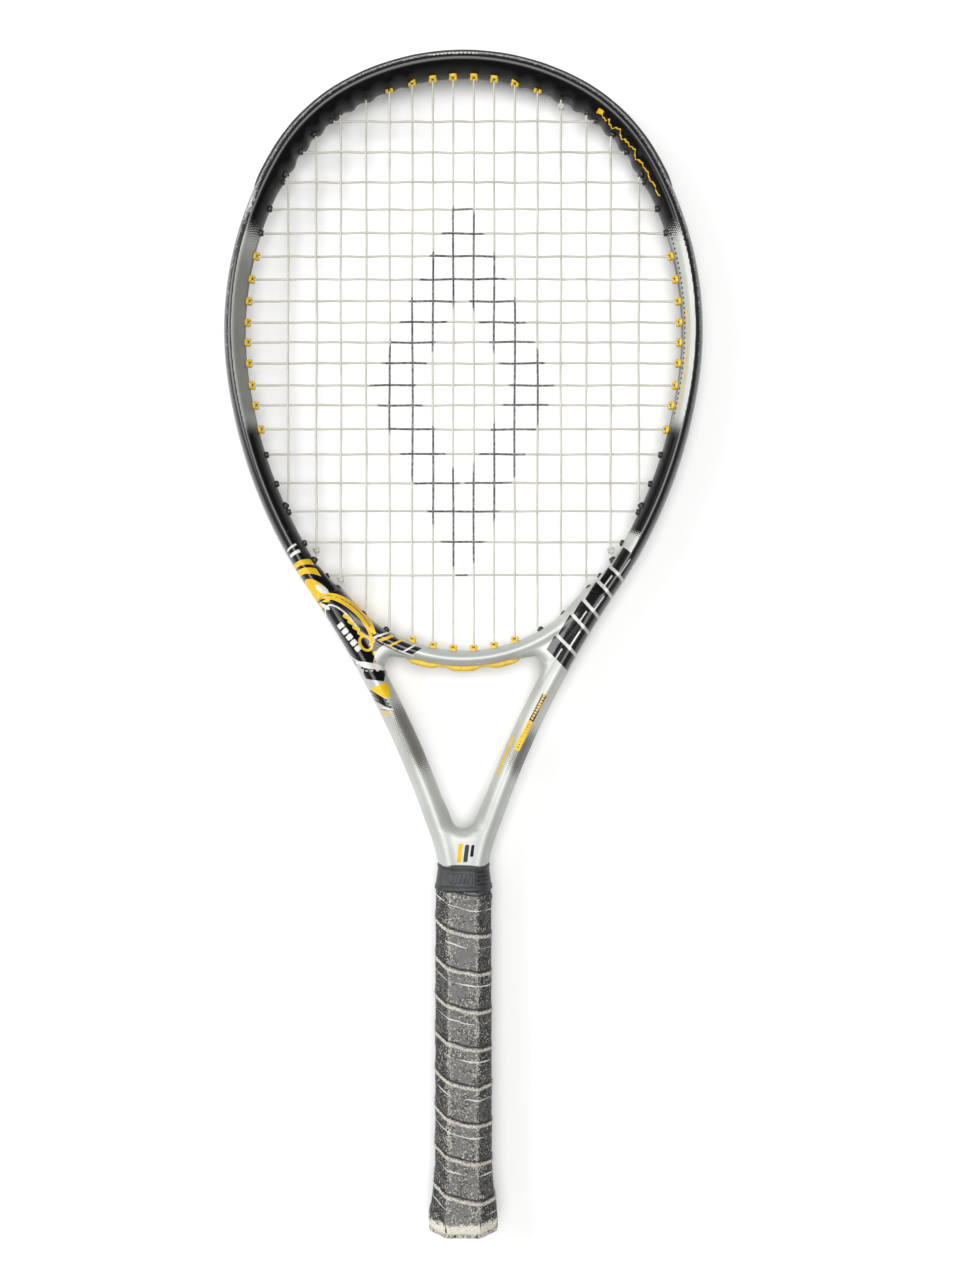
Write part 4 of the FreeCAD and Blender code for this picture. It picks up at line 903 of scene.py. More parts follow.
def overgrip_finish():
    """Worn tacky overgrip: grey-black film rubbed to beige and dirtied in patches, cream frayed edges,
    painted shade on the side facets and a painted shadow above each overlap.
    """
    made = Finish("overgrip_worn", Sheen_Weight=0.15, Sheen_Roughness=0.5, Specular_IOR_Level=0.3)
    side, ridge = made.value("side"), made.value("ridge")
    fine = made.noise(0.62, 3.0, 0.7)
    mid = made.noise(2.2, 4.0, 0.65, shift=8.0)
    cloud = made.noise(9.0, 3.0, 0.6, shift=3.0)
    # The side facets are painted darker as shade: more dark patches and darker copies of the front
    # facets' colours. The mottling itself is dirt.
    patch = mid + side * 0.10 - 0.05
    dirt = (patch + (cloud - 0.5) * 0.7).step(0.42, 0.60)
    front = made.mix(dirt, (0.155, 0.15, 0.147), (0.06, 0.058, 0.056))
    flank_painted_shade = made.mix(dirt, (0.07, 0.068, 0.066), (0.005, 0.005, 0.005))
    tone = made.mix((side + (mid - 0.5) * 1.6).step(0.3, 0.7), front, flank_painted_shade)
    grit = made.noise(0.92, 3.0, 0.72, shift=15.0)
    beige = (grit + (cloud - 0.5) * 0.28 + ridge * 0.07 - side * 0.02 - 0.552).step(0.0, 0.05)
    tone = made.mix(beige * 0.9, tone, (0.50, 0.475, 0.42))
    pit = (made.noise(1.3, 4.0, 0.7, shift=11.0) + side * 0.05 - 0.585).step(0.0, 0.05)
    tone = made.mix(pit * 0.85, tone, (0.008, 0.008, 0.008))
    # Painted shadow: a dark line just above each overlap's frayed edge.
    gap = made.value("gap") * (fine + 0.5)
    tone = made.mix(gap.step(0.35, 0.85) * 0.85, tone, (0.006, 0.006, 0.006))
    cream = made.mix(fine.step(0.38, 0.62), (0.22, 0.205, 0.17), (0.70, 0.67, 0.59))
    frayed = (made.value("edge") + (fine - 0.5) * 1.3 + (mid - 0.5) * 0.8).step(0.42, 0.66)
    tone = made.mix(frayed, tone, cream)
    line = (made.value("line") + (fine - 0.5) * 0.3).step(0.42, 0.60)
    tone = made.mix(line, tone, (0.62, 0.61, 0.57))
    rubbed = (made.value("worn") * 1.5 + (mid - 0.5) * 1.4 + (fine - 0.5) * 1.2).step(0.34, 0.62)
    pale = made.mix(fine.step(0.30, 0.55), (0.34, 0.30, 0.23), (0.72, 0.69, 0.60))
    skin = made.mix(rubbed, tone, pale)
    height = fine + mid * 0.6 + pit * -0.4 + frayed * 0.4
    return made.done(skin, between(mid, 0.55, 0.85), height, 0.4, 0.8)


def cap_finish():
    """Black butt cap, rubbed cream where it meets the ground."""
    made = Finish("cap_plastic", Specular_IOR_Level=0.4)
    fine = made.noise(0.7, 3.0, 0.7)
    mid = made.noise(2.4, 4.0, 0.65, shift=8.0)
    tone = made.mix(mid.step(0.35, 0.65), (0.012, 0.012, 0.012), (0.05, 0.049, 0.047))
    rubbed = (mid + (fine - 0.5) * 0.8).step(0.40, 0.50)
    pale = made.mix(fine.step(0.35, 0.6), (0.30, 0.27, 0.21), (0.66, 0.63, 0.55))
    skin = made.mix(rubbed * 0.9, tone, pale)
    return made.done(skin, between(mid, 0.45, 0.75), fine + mid, 0.2, 0.7)


def rubber_finish():
    """Matt black-grey rubber with dust and fine mould grain."""
    made = Finish("collar_rubber", Specular_IOR_Level=0.45)
    dust = made.noise(3.5, 4.0, 0.65)
    mark = (made.noise(1.2, 4.0, 0.6, shift=2.0)).step(0.66, 0.75)
    tone = made.mix(dust.step(0.35, 0.7), (0.018, 0.019, 0.022), (0.046, 0.048, 0.053))
    skin = made.mix(mark * 0.5, tone, (0.4, 0.4, 0.4))
    return made.done(skin, between(dust, 0.42, 0.62), made.noise(0.4, 3.0, 0.6) + dust * 0.4, 0.08, 0.6)


def steel_finish():
    """Bright wire of the staples, with drawing marks and a little tarnish."""
    made = Finish("staple_steel", Metallic=1.0)
    x, y, up = made.axes()
    drawn = made.noise(0.4, 3.0, 0.6, made.vector(x * 0.2, y, up))
    skin = made.mix(drawn.step(0.4, 0.7), (0.56, 0.55, 0.52), (0.30, 0.27, 0.22))
    return made.done(skin, between(drawn, 0.22, 0.45), drawn, 0.03, 0.5)


def foam_finish():
    """Closed-cell foam of the pallets."""
    made = Finish("pallet_foam", Roughness=0.85)
    cell = made.spots(0.8)
    skin = made.mix(cell.step(0.2, 0.7), (0.42, 0.40, 0.36), (0.60, 0.58, 0.52))
    return made.done(skin, between(cell, 0.7, 0.95), cell, 0.2, 0.7)


def wrap_finish(name, colour):
    """Wrapped grip or tape under the overgrip, with a fine woven back."""
    made = Finish(name, Roughness=0.7)
    x, y, _ = made.axes()
    thread = (x * 4.0).math("SINE") * (y * 4.0).math("SINE")
    cloud = made.noise(5.0, 3.0, 0.6)
    skin = made.mix(cloud.step(0.3, 0.7), colour, tuple(c * 0.6 for c in colour))
    return made.done(skin, between(cloud, 0.6, 0.85), thread * 0.5 + cloud, 0.15, 0.6)


FRAME_PAINT = frame_finish()
YELLOW_NYLON = plastic_finish("yellow_nylon", YELLOW, 0.25)
BLACK_NYLON = plastic_finish("black_nylon", (0.012, 0.012, 0.012), 0.45)
BUMPER_NYLON = bumper_finish()
STRING = string_finish()
OVERGRIP = overgrip_finish()
RUBBER = rubber_finish()
CAP_PLASTIC = cap_finish()
STEEL = steel_finish()
FOAM = foam_finish()
BASE_GRIP = wrap_finish("base_grip", (0.05, 0.05, 0.05))
TAPE = wrap_finish("finishing_tape", (0.03, 0.03, 0.032))


def dress(piece, material, slot_name, *nodes):
    """Give a piece its material and its body, and hide the nodes it stands for; its slot name is not
    used.
    """
    piece.data.materials.clear()
    piece.data.materials.append(material)
    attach(piece, "racket")
    if nodes:
        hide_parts(*nodes)
    return piece


# ---- string holes -------------------------------------------------------------------------------
class Hole:
    """One string hole on the right side: mouth in the bed, end in the groove, way out."""

    def __init__(self, mouth, outer, lift):
        self.mouth = Vector((mouth[0], mouth[1], lift))
        self.outer = Vector((outer[0], outer[1], lift))
        self.way = (self.outer - self.mouth).normalized()

    def mirror(self):
        """The same hole on the left side."""
        return Hole((-self.mouth.x, self.mouth.y), (-self.outer.x, self.outer.y), self.mouth.z)


def reach_groove(mouth, way):
    """Where a line from the bed reaches the string's depth in the outer groove."""
    steps = np.linspace(2.0, 60.0, 1200)
    _, inset = outline_place(mouth[0] + way[0] * steps, mouth[1] + way[1] * steps)
    last = int(np.nonzero(inset > LOOP_DEPTH)[0][-1])
    return mouth[0] + way[0] * steps[last], mouth[1] + way[1] * steps[last]


def frame_hole(mouth, run_way, heading, lift, lean=None):
    """A hole half-way between the string's run and the frame's normal, or at an angle."""
    if lean is None:
        way = Vector((run_way[0] - math.sin(heading), run_way[1] + math.cos(heading))).normalized()
    else:
        way = Vector((math.sin(math.radians(lean)), -math.cos(math.radians(lean))))
    return Hole(mouth, reach_groove(mouth, way), lift)


GUSSET_LOW = bridge_spot(GUSSET_ANGLE, BRIDGE_BED_RADIUS - 0.8)
GUSSET_HIGH = crossing(HEAD_BEAM, y=GUSSET_TOP)[:2]
GUSSET_SLOPE = (GUSSET_HIGH[1] - GUSSET_LOW[1]) / (GUSSET_HIGH[0] - GUSSET_LOW[0])


def bed_edge(x):
    """Height of the string bed's lower edge at an offset."""
    if x > GUSSET_LOW[0]:
        return GUSSET_LOW[1] + (x - GUSSET_LOW[0]) * GUSSET_SLOPE
    return BRIDGE_CENTRE - math.sqrt(BRIDGE_BED_RADIUS ** 2 - x ** 2)


def main_holes():
    """Top and bottom holes of the main strings on the right side."""
    tops, bottoms = [], []
    for index, x in enumerate(MAIN_OFFSETS):
        px, py, heading = crossing(HEAD_BEAM + HEAD_STAND, x=x)
        tops.append(frame_hole((px, py), (0.0, 1.0), heading, STRING_LIFT))
        mouth = (x, bed_edge(x) + HEAD_STAND)
        if index < BRIDGE_MAINS:
            outer = BRIDGE_CENTRE - math.sqrt((BRIDGE_BED_RADIUS + BRIDGE_BEAM) ** 2 - x ** 2)
            bottoms.append(Hole(mouth, (x, outer - THROAT_LOOP), STRING_LIFT))
        elif index in SHOULDER_LEAN:
            bottoms.append(frame_hole(mouth, None, None, STRING_LIFT, SHOULDER_LEAN[index]))
        else:
            px, py, heading = crossing(HEAD_BEAM + HEAD_STAND, x=x, lower=True)
            bottoms.append(frame_hole((px, py), (0.0, -1.0), heading, STRING_LIFT))
    return tops, bottoms


def cross_levels():
    """Heights of the cross strings from the top down."""
    levels = [TOP_CROSS]
    for gap in CROSS_GAPS:
        levels.append(levels[-1] - gap)
    return levels


def cross_holes():
    """Right-hand holes of the cross strings."""
    holes = []
    for y in cross_levels():
        px, py, heading = crossing(HEAD_BEAM + HEAD_STAND, y=y)
        if y < GUSSET_HIGH[1]:
            px = GUSSET_LOW[0] + (y - GUSSET_LOW[1]) / GUSSET_SLOPE - HEAD_STAND
        holes.append(frame_hole((px, py), (1.0, 0.0), heading, -STRING_LIFT))
    return holes


MAIN_TOP, MAIN_BOTTOM = main_holes()
CROSS = cross_holes()
BOTH_OFFSETS = sorted([-x for x in MAIN_OFFSETS] + MAIN_OFFSETS)


# ---- strings ------------------------------------------------------------------------------------
def weave_height(axis_value, knots, first_over, lift):
    """Height of a woven string at a place between its crossings."""
    rise = STRING_RADIUS * 0.96
    heights = [rise if (i + first_over) % 2 == 0 else -rise for i in range(len(knots))]
    step = min(knots[1] - knots[0], 8.0)
    places = [knots[0] - step, *knots, knots[-1] + step]
    heights = [lift, *heights, lift]
    i = int(np.clip(np.searchsorted(places, axis_value) - 1, 0, len(places) - 2))
    share = np.clip((axis_value - places[i]) / (places[i + 1] - places[i]), 0.0, 1.0)
    ease = 0.5 - 0.5 * math.cos(math.pi * share)
    return heights[i] + (heights[i + 1] - heights[i]) * ease


def bed_run(start, end, vertical, order):
    """Points of one run across the bed, woven over and under the strings it crosses."""
    axis = 1 if vertical else 0
    length = abs(end[axis] - start[axis])
    low, high = sorted((start[axis], end[axis]))
    across = cross_levels()[::-1] if vertical else BOTH_OFFSETS
    met = [level for level in across if low < level < high]
    first = across.index(met[0])
    over = (first + order) % 2 if vertical else (first + order + 1) % 2
    points = []
    for share in np.linspace(0.0, 1.0, max(8, int(length / 2.0))):
        point = start.lerp(end, share)
        point.z = weave_height(point[axis], met, over, start.z)
        sway = 0.22 * math.sin(point[axis] * 0.045 + order * 2.1)
        point[1 - axis] += sway * math.sin(math.pi * share)
        points.append(point)
    return points


def loop_between(first, second):
    """Points of a string in the outer groove between two holes, bending round with the frame."""
    points = []
    inside_head = first.outer.y > 360.0 and abs(first.outer.x) > MAIN_OFFSETS[0]
    for share in np.linspace(0.0, 1.0, 9)[1:-1]:
        point = first.outer.lerp(second.outer, share)
        if inside_head:
            run, _ = outline_place(np.array([abs(point.x)]), np.array([point.y]))
            x, y, _, _ = spot(float(run[0]), LOOP_DEPTH)
            point = Vector((math.copysign(x, point.x), y, point.z))
        points.append(point)
    return points


def string_route(runs, vertical):
    """Every point of one string through its (start, end, order) runs."""
    points = []
    before = None
    for start, end, order in runs:
        if before is not None:
            points += loop_between(before, start)
        points += [start.outer, start.outer.lerp(start.mouth, 0.3), start.outer.lerp(start.mouth, 0.8)]
        points += bed_run(start.mouth, end.mouth, vertical, order)
        points += [end.mouth.lerp(end.outer, 0.2), end.mouth.lerp(end.outer, 0.7), end.outer]
        before = end
    return points


def turned_run(first, second, index, order):
    """One run as (start, end, order), which goes the other way when its index is odd."""
    return (first, second, order) if index % 2 == 0 else (second, first, order)


def main_runs():
    """Runs of the main string, from the eighth on the left to the eighth on the right."""
    count = len(MAIN_OFFSETS)
    left = [turned_run(MAIN_TOP[i].mirror(), MAIN_BOTTOM[i].mirror(), i, count - 1 - i)
            for i in range(count - 1, -1, -1)]
    return left + [turned_run(MAIN_BOTTOM[i], MAIN_TOP[i], i, count + i) for i in range(count)]


def cross_runs():
    """Runs of the cross string from the top down."""
    return [turned_run(hole, hole.mirror(), i, len(CROSS) - 1 - i) for i, hole in enumerate(CROSS)]


def tail(points, target, at_start):
    """Add the string's end, lying in the groove towards its tie-off hole."""
    last = points[0] if at_start else points[-1]
    goal = Vector((target.x, target.y, last.z))
    way = goal - last
    reach = last + way.normalized() * (way.length - 4.0)
    extra = [last.lerp(reach, share) for share in (0.3, 0.6, 1.0)]
    return extra[::-1] + points if at_start else points + extra


def stencil(points):
    """Signed field of the inked mark: a thick diamond ring in the middle of the bed, in millimetres."""
    x, y = points[:, 0] + 0.5, points[:, 1] - 508.0
    size = np.abs(x) / 52.0 + np.abs(y) / 112.0
    return (0.27 - np.abs(size - 0.82)) * 40.0


def make_string(name, points, node):
    """One string as a round tube with its ink field."""
    kept = [points[0]]
    for point in points[1:]:
        if (point - kept[-1]).length > 0.25:
            kept.append(point)
    rings = tube_rings([tuple(p) for p in kept], STRING_RADIUS)
    built = Builder()
    built.grid(rings)
    flat = np.concatenate(rings)
    piece = built.make(name, {"ink": stencil(flat)})
    return dress(piece, STRING, "string", node)


def make_strings():
    """Main and cross strings with their tails."""
    mains = string_route(main_runs(), True)
    mains = tail(mains, MAIN_BOTTOM[6].mirror().outer, True)
    mains = tail(mains, MAIN_BOTTOM[6].outer, False)
    make_string("woven_main_string", mains, "main_string")
    crosses = string_route(cross_runs(), False)
    crosses = tail(crosses, MAIN_TOP[7].outer, True)
    crosses = tail(crosses, MAIN_BOTTOM[5].mirror().outer, False)
    make_string("woven_cross_string", crosses, "cross_string")


KNOT_TURNS = 2.25                # times that a knot's string goes round


def make_knot(name, centre, node):
    """Double half hitch around a main string, with its cut tail."""
    turns = []
    for share in np.linspace(0.0, 1.0, 46):
        angle = 2.0 * math.pi * KNOT_TURNS * share
        reach = 1.42 + 0.16 * math.sin(angle * 0.5)
        turns.append((centre.x + reach * math.cos(angle), centre.y + 1.5 - 3.0 * share,
                      centre.z + reach * math.sin(angle)))
    x, y, z = turns[-1]
    turns += [(x + 0.5, y + 0.5, z + 0.3), (x + 1.2, y + 1.6, z + 0.35), (x + 1.6, y + 2.8, z + 0.1)]
    built = Builder()
    built.grid(tube_rings(turns, STRING_RADIUS * 0.98, 12))
    piece = built.make(name, {"ink": np.full(len(built.points), BARE)})
    dress(piece, STRING, "string", node)


def make_knots():
    """Four tie-off knots beside their grommets."""
    clear = Vector((0.0, KNOT_CLEAR, 0.0))
    make_knot("knot_main_right", MAIN_BOTTOM[6].mouth + clear, "main_knot_right")
    make_knot("knot_main_left", MAIN_BOTTOM[6].mirror().mouth + clear, "main_knot_left")
    make_knot("knot_cross_start", MAIN_TOP[4].mouth - clear, "cross_knot_start")
    make_knot("knot_cross_end", MAIN_BOTTOM[5].mirror().mouth + clear, "cross_knot_end")


# ---- grommets and strips ------------------------------------------------------------------------
UP = Vector((0.0, 0.0, 1.0))
# Distance along the hole and radius: bore, lip, rounded head and neck
GROMMET_PROFILE = [(3.4, 0.75), (0.5, 0.78), (0.1, 0.95), (-0.05, 1.25), (0.0, 1.75), (0.25, 2.15),
                   (0.7, 2.42), (1.5, 2.5), (2.4, 2.55), (3.0, 2.7), (4.2, 2.8)]
PRONG_PROFILE = [(1.2, 0.95), (0.0, 0.9), (-0.5, 0.75), (-0.8, 0.45)]
BLACK_HEAD = (2.4, 0.8, 0.9)      # power, size and depth of the small black grommets


def squared_ring(centre, way, radius, power, count, tall=1.0):
    """Ring of points across a direction: round at power 2, squarer above it."""
    side = way.cross(UP).normalized()
    ring = []
    for turn in np.linspace(0.0, 2.0 * math.pi, count, endpoint=False):
        c, s = math.cos(turn), math.sin(turn)
        reach = radius / (abs(c) ** power + abs(s) ** power) ** (1.0 / power)
        ring.append(centre + side * (reach * c) + UP * (reach * s * tall))
    return ring


def grommet_rings(hole, square, size, sunk):
    """Rings of one grommet, its head squared by a power and sunk along its hole."""
    rings = []
    for along, radius in GROMMET_PROFILE:
        power, scale = (2.0, 1.0) if radius < 1.0 else (square, size)
        centre = hole.mouth + hole.way * (sunk + along)
        rings.append(squared_ring(centre, hole.way, radius * scale, power, 28))
    return rings


def prong_rings(hole, shift):
    """Rings of one small prong beside the string on a yellow grommet."""
    centre = hole.mouth + hole.way.cross(UP).normalized() * shift
    return [squared_ring(centre + hole.way * along, hole.way, half, 4.0, 16, 1.9)
            for along, half in PRONG_PROFILE]


def horseshoe(built, hole):
    """A yellow grommet: squarish head with a prong on each side of its string."""
    built.grid(grommet_rings(hole, 4.5, 0.92, 1.0))
    for shift in (-1.5, 1.5):
        built.grid(prong_rings(hole, shift))


def yellow_set(name, holes, node):
    """Several yellow grommets as one piece."""
    built = Builder()
    for hole in holes:
        horseshoe(built, hole)
    return dress(built.make(name), YELLOW_NYLON, "yellow_nylon", node)


def make_bore_shade(holes):
    """Black sleeves at the mouths of the yellow grommets' bores, round their strings: painted shade in
    the holes.
    """
    built = Builder()
    for hole in holes:
        points = [hole.mouth + hole.way * along for along in (0.35, 0.7, 1.4)]
        built.grid(tube_rings([tuple(p) for p in points], 1.02, 14))
    dress(built.make("grommet_bore_shade"), BLACK_NYLON, "black_nylon")


def mirrored(holes):
    """The holes and their mirror images."""
    return list(holes) + [hole.mirror() for hole in holes]


def band_rings(low, high, step, section, lump=None):
    """Rings of a section of (outwards, up) points swept along the outline between two run lengths."""
    rings = []
    for run in np.linspace(low, high, max(2, int(abs(high - low) / step))):
        x, y, nx, ny = spot(run)
        rise = lump(run) if lump else 0.0
        rings.append([(x + nx * (out + rise * grow), y + ny * (out + rise * grow), z)
                      for out, z, grow in section])
    return rings


def oval_out(z, grow=0.0):
    """How far out the frame's outer face stands at a height."""
    half_x, half_z = HEAD_BEAM / 2 + grow, HEAD_DEPTH / 2 + grow
    return -HEAD_BEAM / 2 + half_x * math.sqrt(max(0.0, 1.0 - (z / half_z) ** 2))


def bumper_profile():
    """Section of the bumper: rounded edges, outer face, string channel and hidden inner face."""
    outside = [(oval_out(z, 0.05 + BUMPER_STAND * min(1.0, (9.6 - abs(z)) / 1.2) ** 0.5), z, 1.0)
               for z in np.linspace(-9.6, -2.6, 12)]
    channel = [(-0.2, -2.2, 0.0), (-2.0, -2.1, 0.0), (-2.15, -1.6, 0.0),
               (-2.15, 1.6, 0.0), (-2.0, 2.1, 0.0), (-0.2, 2.2, 0.0)]
    inside = [(-2.9, 2.8, 0.0), (-2.9, -2.8, 0.0)]
    upper = [(out, -z, grow) for out, z, grow in outside[::-1]]
    back = [(oval_out(z, -0.6), z, 0.0) for z in (9.0, 6.0, 3.4, -3.4, -6.0, -9.0)]
    return outside + channel + upper + back[:3] + inside + back[3:]


def strip_profile():
    """Section of the grommet strip that lines the outer groove."""
    half = GROOVE_HALF - 0.1
    lower = [(-2.9, -half, 0.0), (-0.5, -half, 0.0), (-0.25, -half + 0.25, 0.0), (-0.5, -2.2, 0.0),
             (-2.1, -2.1, 0.0)]
    return lower + [(out, -z, grow) for out, z, grow in lower[::-1]]


def bumper_wear(run):
    """Shallow waves where the bumper has been ground down on court, and its thin ends."""
    end = min(1.0, (BUMPER_RUN - abs(run)) / 9.0)
    return 0.12 * noise.noise(Vector((run * 0.11, 3.7, 0.0))) - 0.15 - 0.85 * (1.0 - end) ** 1.5


def make_strips():
    """Bumper over the top and grommet strips down the sides, with their black grommets."""
    bumper = Builder()
    bumper.grid(band_rings(-BUMPER_RUN, BUMPER_RUN, 2.0, bumper_profile(), bumper_wear))
    side_cross = [hole for index, hole in enumerate(CROSS) if index not in YELLOW_SIDE]
    top_black = MAIN_TOP[YELLOW_TOP:] + side_cross[:2]
    for hole in mirrored(top_black):
        bumper.grid(grommet_rings(hole, *BLACK_HEAD))
    dress(bumper.make("worn_bumper"), BUMPER_NYLON, "black_nylon", "bumper_guard")
    lower = side_cross[2:-2] + MAIN_BOTTOM[6:]
    for side, node in ((1.0, "side_strip_right"), (-1.0, "side_strip_left")):
        strip = Builder()
        strip.grid(band_rings(side * (BUMPER_RUN + 0.8), side * STRIP_RUN, 3.0, strip_profile()))
        for hole in lower:
            strip.grid(grommet_rings(hole if side > 0 else hole.mirror(), *BLACK_HEAD))
        dress(strip.make("grooved_" + node), BLACK_NYLON, "black_nylon", node)


def make_grommets():
    """Yellow and black grommet heads inside the bed."""
    top = mirrored(MAIN_TOP[:YELLOW_TOP])
    right = [CROSS[index] for index in YELLOW_SIDE]
    left = [hole.mirror() for hole in right]
    yellow_set("yellow_top_grommets", top, "top_grommets")
    yellow_set("yellow_right_grommets", right, "right_grommets")
    yellow_set("yellow_left_grommets", left, "left_grommets")
    # Painted shade in the yellow grommets' holes.
    make_bore_shade(top + right + left + mirrored(MAIN_BOTTOM[:BRIDGE_MAINS]))
    built = Builder()
    for hole in mirrored(MAIN_BOTTOM[BRIDGE_MAINS:6] + CROSS[-2:]):
        built.grid(grommet_rings(hole, *BLACK_HEAD))
    dress(built.make("black_shoulder_grommets"), BLACK_NYLON, "black_nylon", "shoulder_grommets")


STRIP_END = 20.4                 # degrees either side of the middle


def throat_thickness(angle_deg):
    """Thickness of the throat strip below the bridge: thin, with three low lumps over the loops."""
    thick = 1.0
    for middle in (-14.1, 0.0, 14.1):
        share = abs(angle_deg - middle) / 5.6
        if share < 1.0:
            thick = max(thick, 1.0 + 1.75 * min(1.0, (1.0 - share) * 2.2) ** 0.7)
    ends = (STRIP_END + 0.2 - abs(angle_deg)) / 1.2
    return thick * min(1.0, max(0.15, ends)) ** 0.6


def make_throat_strip():
    """Yellow strip under the bridge with its six grommets."""
    built = Builder()
    edge = BRIDGE_BED_RADIUS + BRIDGE_BEAM
    rings = []
    for angle in np.linspace(-STRIP_END, STRIP_END, 121):
        thick = throat_thickness(angle)
        lower = [(-2.0, -3.7), (thick * 0.6, -3.9), (thick, -3.3), (thick, -1.6),
                 (min(0.6, thick * 0.5), -1.3)]
        profile = lower + [(out, -z) for out, z in lower[::-1]]
        rings.append([(*bridge_spot(math.radians(angle), edge + out), z) for out, z in profile])
    built.grid(rings)
    for hole in mirrored(MAIN_BOTTOM[:BRIDGE_MAINS]):
        horseshoe(built, hole)
    dress(built.make("lumped_throat_strip"), YELLOW_NYLON, "yellow_nylon", "throat_strip")


# ---- handle -------------------------------------------------------------------------------------
CORNER_SHARPNESS = 26.0


def octagon_reach(half_x, half_z, turn):
    """Distance from the handle's axis to its rounded octagonal face, in a direction."""
    corners = [(half_x, half_z * FACET_Z), (half_x * FACET_X, half_z)]
    slant = Vector((corners[0][1] - corners[1][1], corners[1][0] - corners[0][0])) * -1.0
    slant.normalize()
    offset = slant.x * corners[0][0] + slant.y * corners[0][1]
    c, s = abs(math.cos(turn)), abs(math.sin(turn))
    faces = (c / half_x, s / half_z, (slant.x * c + slant.y * s) / offset)
    return sum(face ** CORNER_SHARPNESS for face in faces) ** (-1.0 / CORNER_SHARPNESS)


def half_sizes(stations, place):
    """Half width and half depth at a place between (place, half width, half depth) stations."""
    places, half_x, half_z = zip(*stations)
    return float(np.interp(place, places, half_x)), float(np.interp(place, places, half_z))


WRAP_PITCH = 22.6                 # the overgrip climbs this far each turn
WRAP_START = 19.6                 # height of one of its overlaps at the right-hand side
WRAP_SAG = 4.2                    # how far each turn sags over the front
THIN_BELOW = 6.9                  # the seam's other edge shows this far below the overlap


def above_overlap(turn, y):
    """Height above the nearest overlap's frayed edge, from minus to plus half the pitch."""
    level = y - WRAP_START - WRAP_PITCH * turn / (2.0 * math.pi) + WRAP_SAG * math.sin(turn)
    level += 0.7 * noise.noise(Vector((math.cos(turn) * 2.0, math.sin(turn) * 2.0, y * 0.05)))
    return (level / WRAP_PITCH + 0.5) % 1.0 * WRAP_PITCH - WRAP_PITCH / 2.0


def facet_shade_and_wear(turn, half_x, half_z):
    """How much a direction lies on the side facets, which are painted darker as shade, and how near it
    is to a front facet's edge, where the grip is worn.
    """
    x = octagon_reach(half_x, half_z, turn) * math.cos(turn)
    share = abs(x) / (half_x * FACET_X)
    return min(1.0, max(0.0, (share - 0.98) / 0.12)), math.exp(-((share - 1.0) / 0.16) ** 2)


def make_overgrip():
    """Spiral overgrip with stepped overlaps, frayed edges, hand wear, a rubbed end, and fields for a
    painted shadow above each overlap and painted shade on the side facets.
    """
    turns = np.linspace(0.0, 2.0 * math.pi, 360, endpoint=False)
    heights = np.concatenate([np.linspace(0.25, 3.0, 6), np.arange(3.5, 204.0, 0.55), [204.6, 204.7]])
    rings = []
    fields = {"edge": [], "line": [], "gap": [], "worn": [], "side": [], "ridge": []}
    for y in heights:
        half_x, half_z = half_sizes(HANDLE, y)
        ring = []
        for turn in turns:
            away = above_overlap(turn, y)
            here = Vector((math.cos(turn) * 14.0, y, math.sin(turn) * 14.0))
            fray = noise.noise(here * 0.9)
            pull = 0.75 + 0.5 * noise.noise(here * 0.06)
            lift = 0.62 * math.exp(-(away / 1.15) ** 2) + 0.4 * ((away / WRAP_PITCH) % 1.0) ** 2
            thin = abs(away + THIN_BELOW)
            lift += 0.12 * math.exp(-(thin / 0.5) ** 2)
            lump = 0.20 * noise.noise(here * 0.16) + 0.12 * noise.noise(here * 0.55)
            fuzz = 0.22 * fray * math.exp(-(away / 1.6) ** 2)
            reach = octagon_reach(half_x, half_z, turn) - 0.55 + lift * pull + lump + fuzz
            if y < 2.6:
                reach -= 0.9 * (1.0 - y / 2.6) ** 2
            if y > 203.0:
                reach -= 0.4 * (y - 203.0) / 1.7
            ring.append((reach * math.cos(turn), y, reach * math.sin(turn)))
            side, ridge = facet_shade_and_wear(turn, half_x, half_z)
            patchy = 0.75 + 0.9 * noise.noise(here * 0.11 + Vector((5.0, 0.0, 0.0)))
            top_end = min(1.0, max(0.0, (194.0 - y) / 3.0))
            fields["edge"].append(math.exp(-(away / 1.05) ** 2) * top_end)
            fields["line"].append(math.exp(-(thin / 0.42) ** 2) * patchy)
            # Painted shadow: where the dark line above each overlap's edge goes.
            fields["gap"].append(math.exp(-((away - 2.1) / 0.8) ** 2))
            fields["worn"].append(max(0.0, 1.0 - y / 11.0))
            # side drives the painted shade on the side facets; ridge marks the worn edges of the front
            # facets.
            fields["side"].append(side)
            fields["ridge"].append(ridge)
        rings.append(ring)
    built = Builder()
    built.grid(rings, caps=False)
    piece = built.make("spiral_overgrip", fields)
    thick = piece.modifiers.new("thickness", "SOLIDIFY")
    thick.thickness = 0.0007
    thick.offset = -1.0
    dress(piece, OVERGRIP, "overgrip", "overgrip")


COLLAR_WALL = 2.4


def collar_reach(up, turn):
    """Distance from the axis to the collar's face: rims, front panel and side grooves."""
    half_x, half_z = half_sizes(COLLAR, up)
    c, s = math.cos(turn), math.sin(turn)
    power = 2.7
    reach = ((abs(c) / half_x) ** power + (abs(s) / half_z) ** power) ** (-1.0 / power)
    x = reach * c
    front = s > 0.0
    body = 2.9 < up < 12.6
    if body and front and -13.0 < x < 7.6:
        edge = min(up - 2.9, 12.6 - up, x + 13.0, 7.6 - x)
        reach += 0.34 * min(1.0, edge / 0.5)
        if -9.0 < x < 5.4 and 5.0 < up < 10.6:
            bar = (x - 0.25 * (up - 8.0)) % 2.4
            reach += 0.42 if bar < 1.2 else 0.0
    if body and front and x > 8.4:
        groove = abs(((up - 2.9) % 2.4) - 1.2)
        reach -= 0.95 * max(0.0, 1.0 - groove / 0.62)
    for rim in (0.9, 14.0):
        reach += 0.22 * max(0.0, 1.0 - abs(up - rim) / 0.9)
    return reach


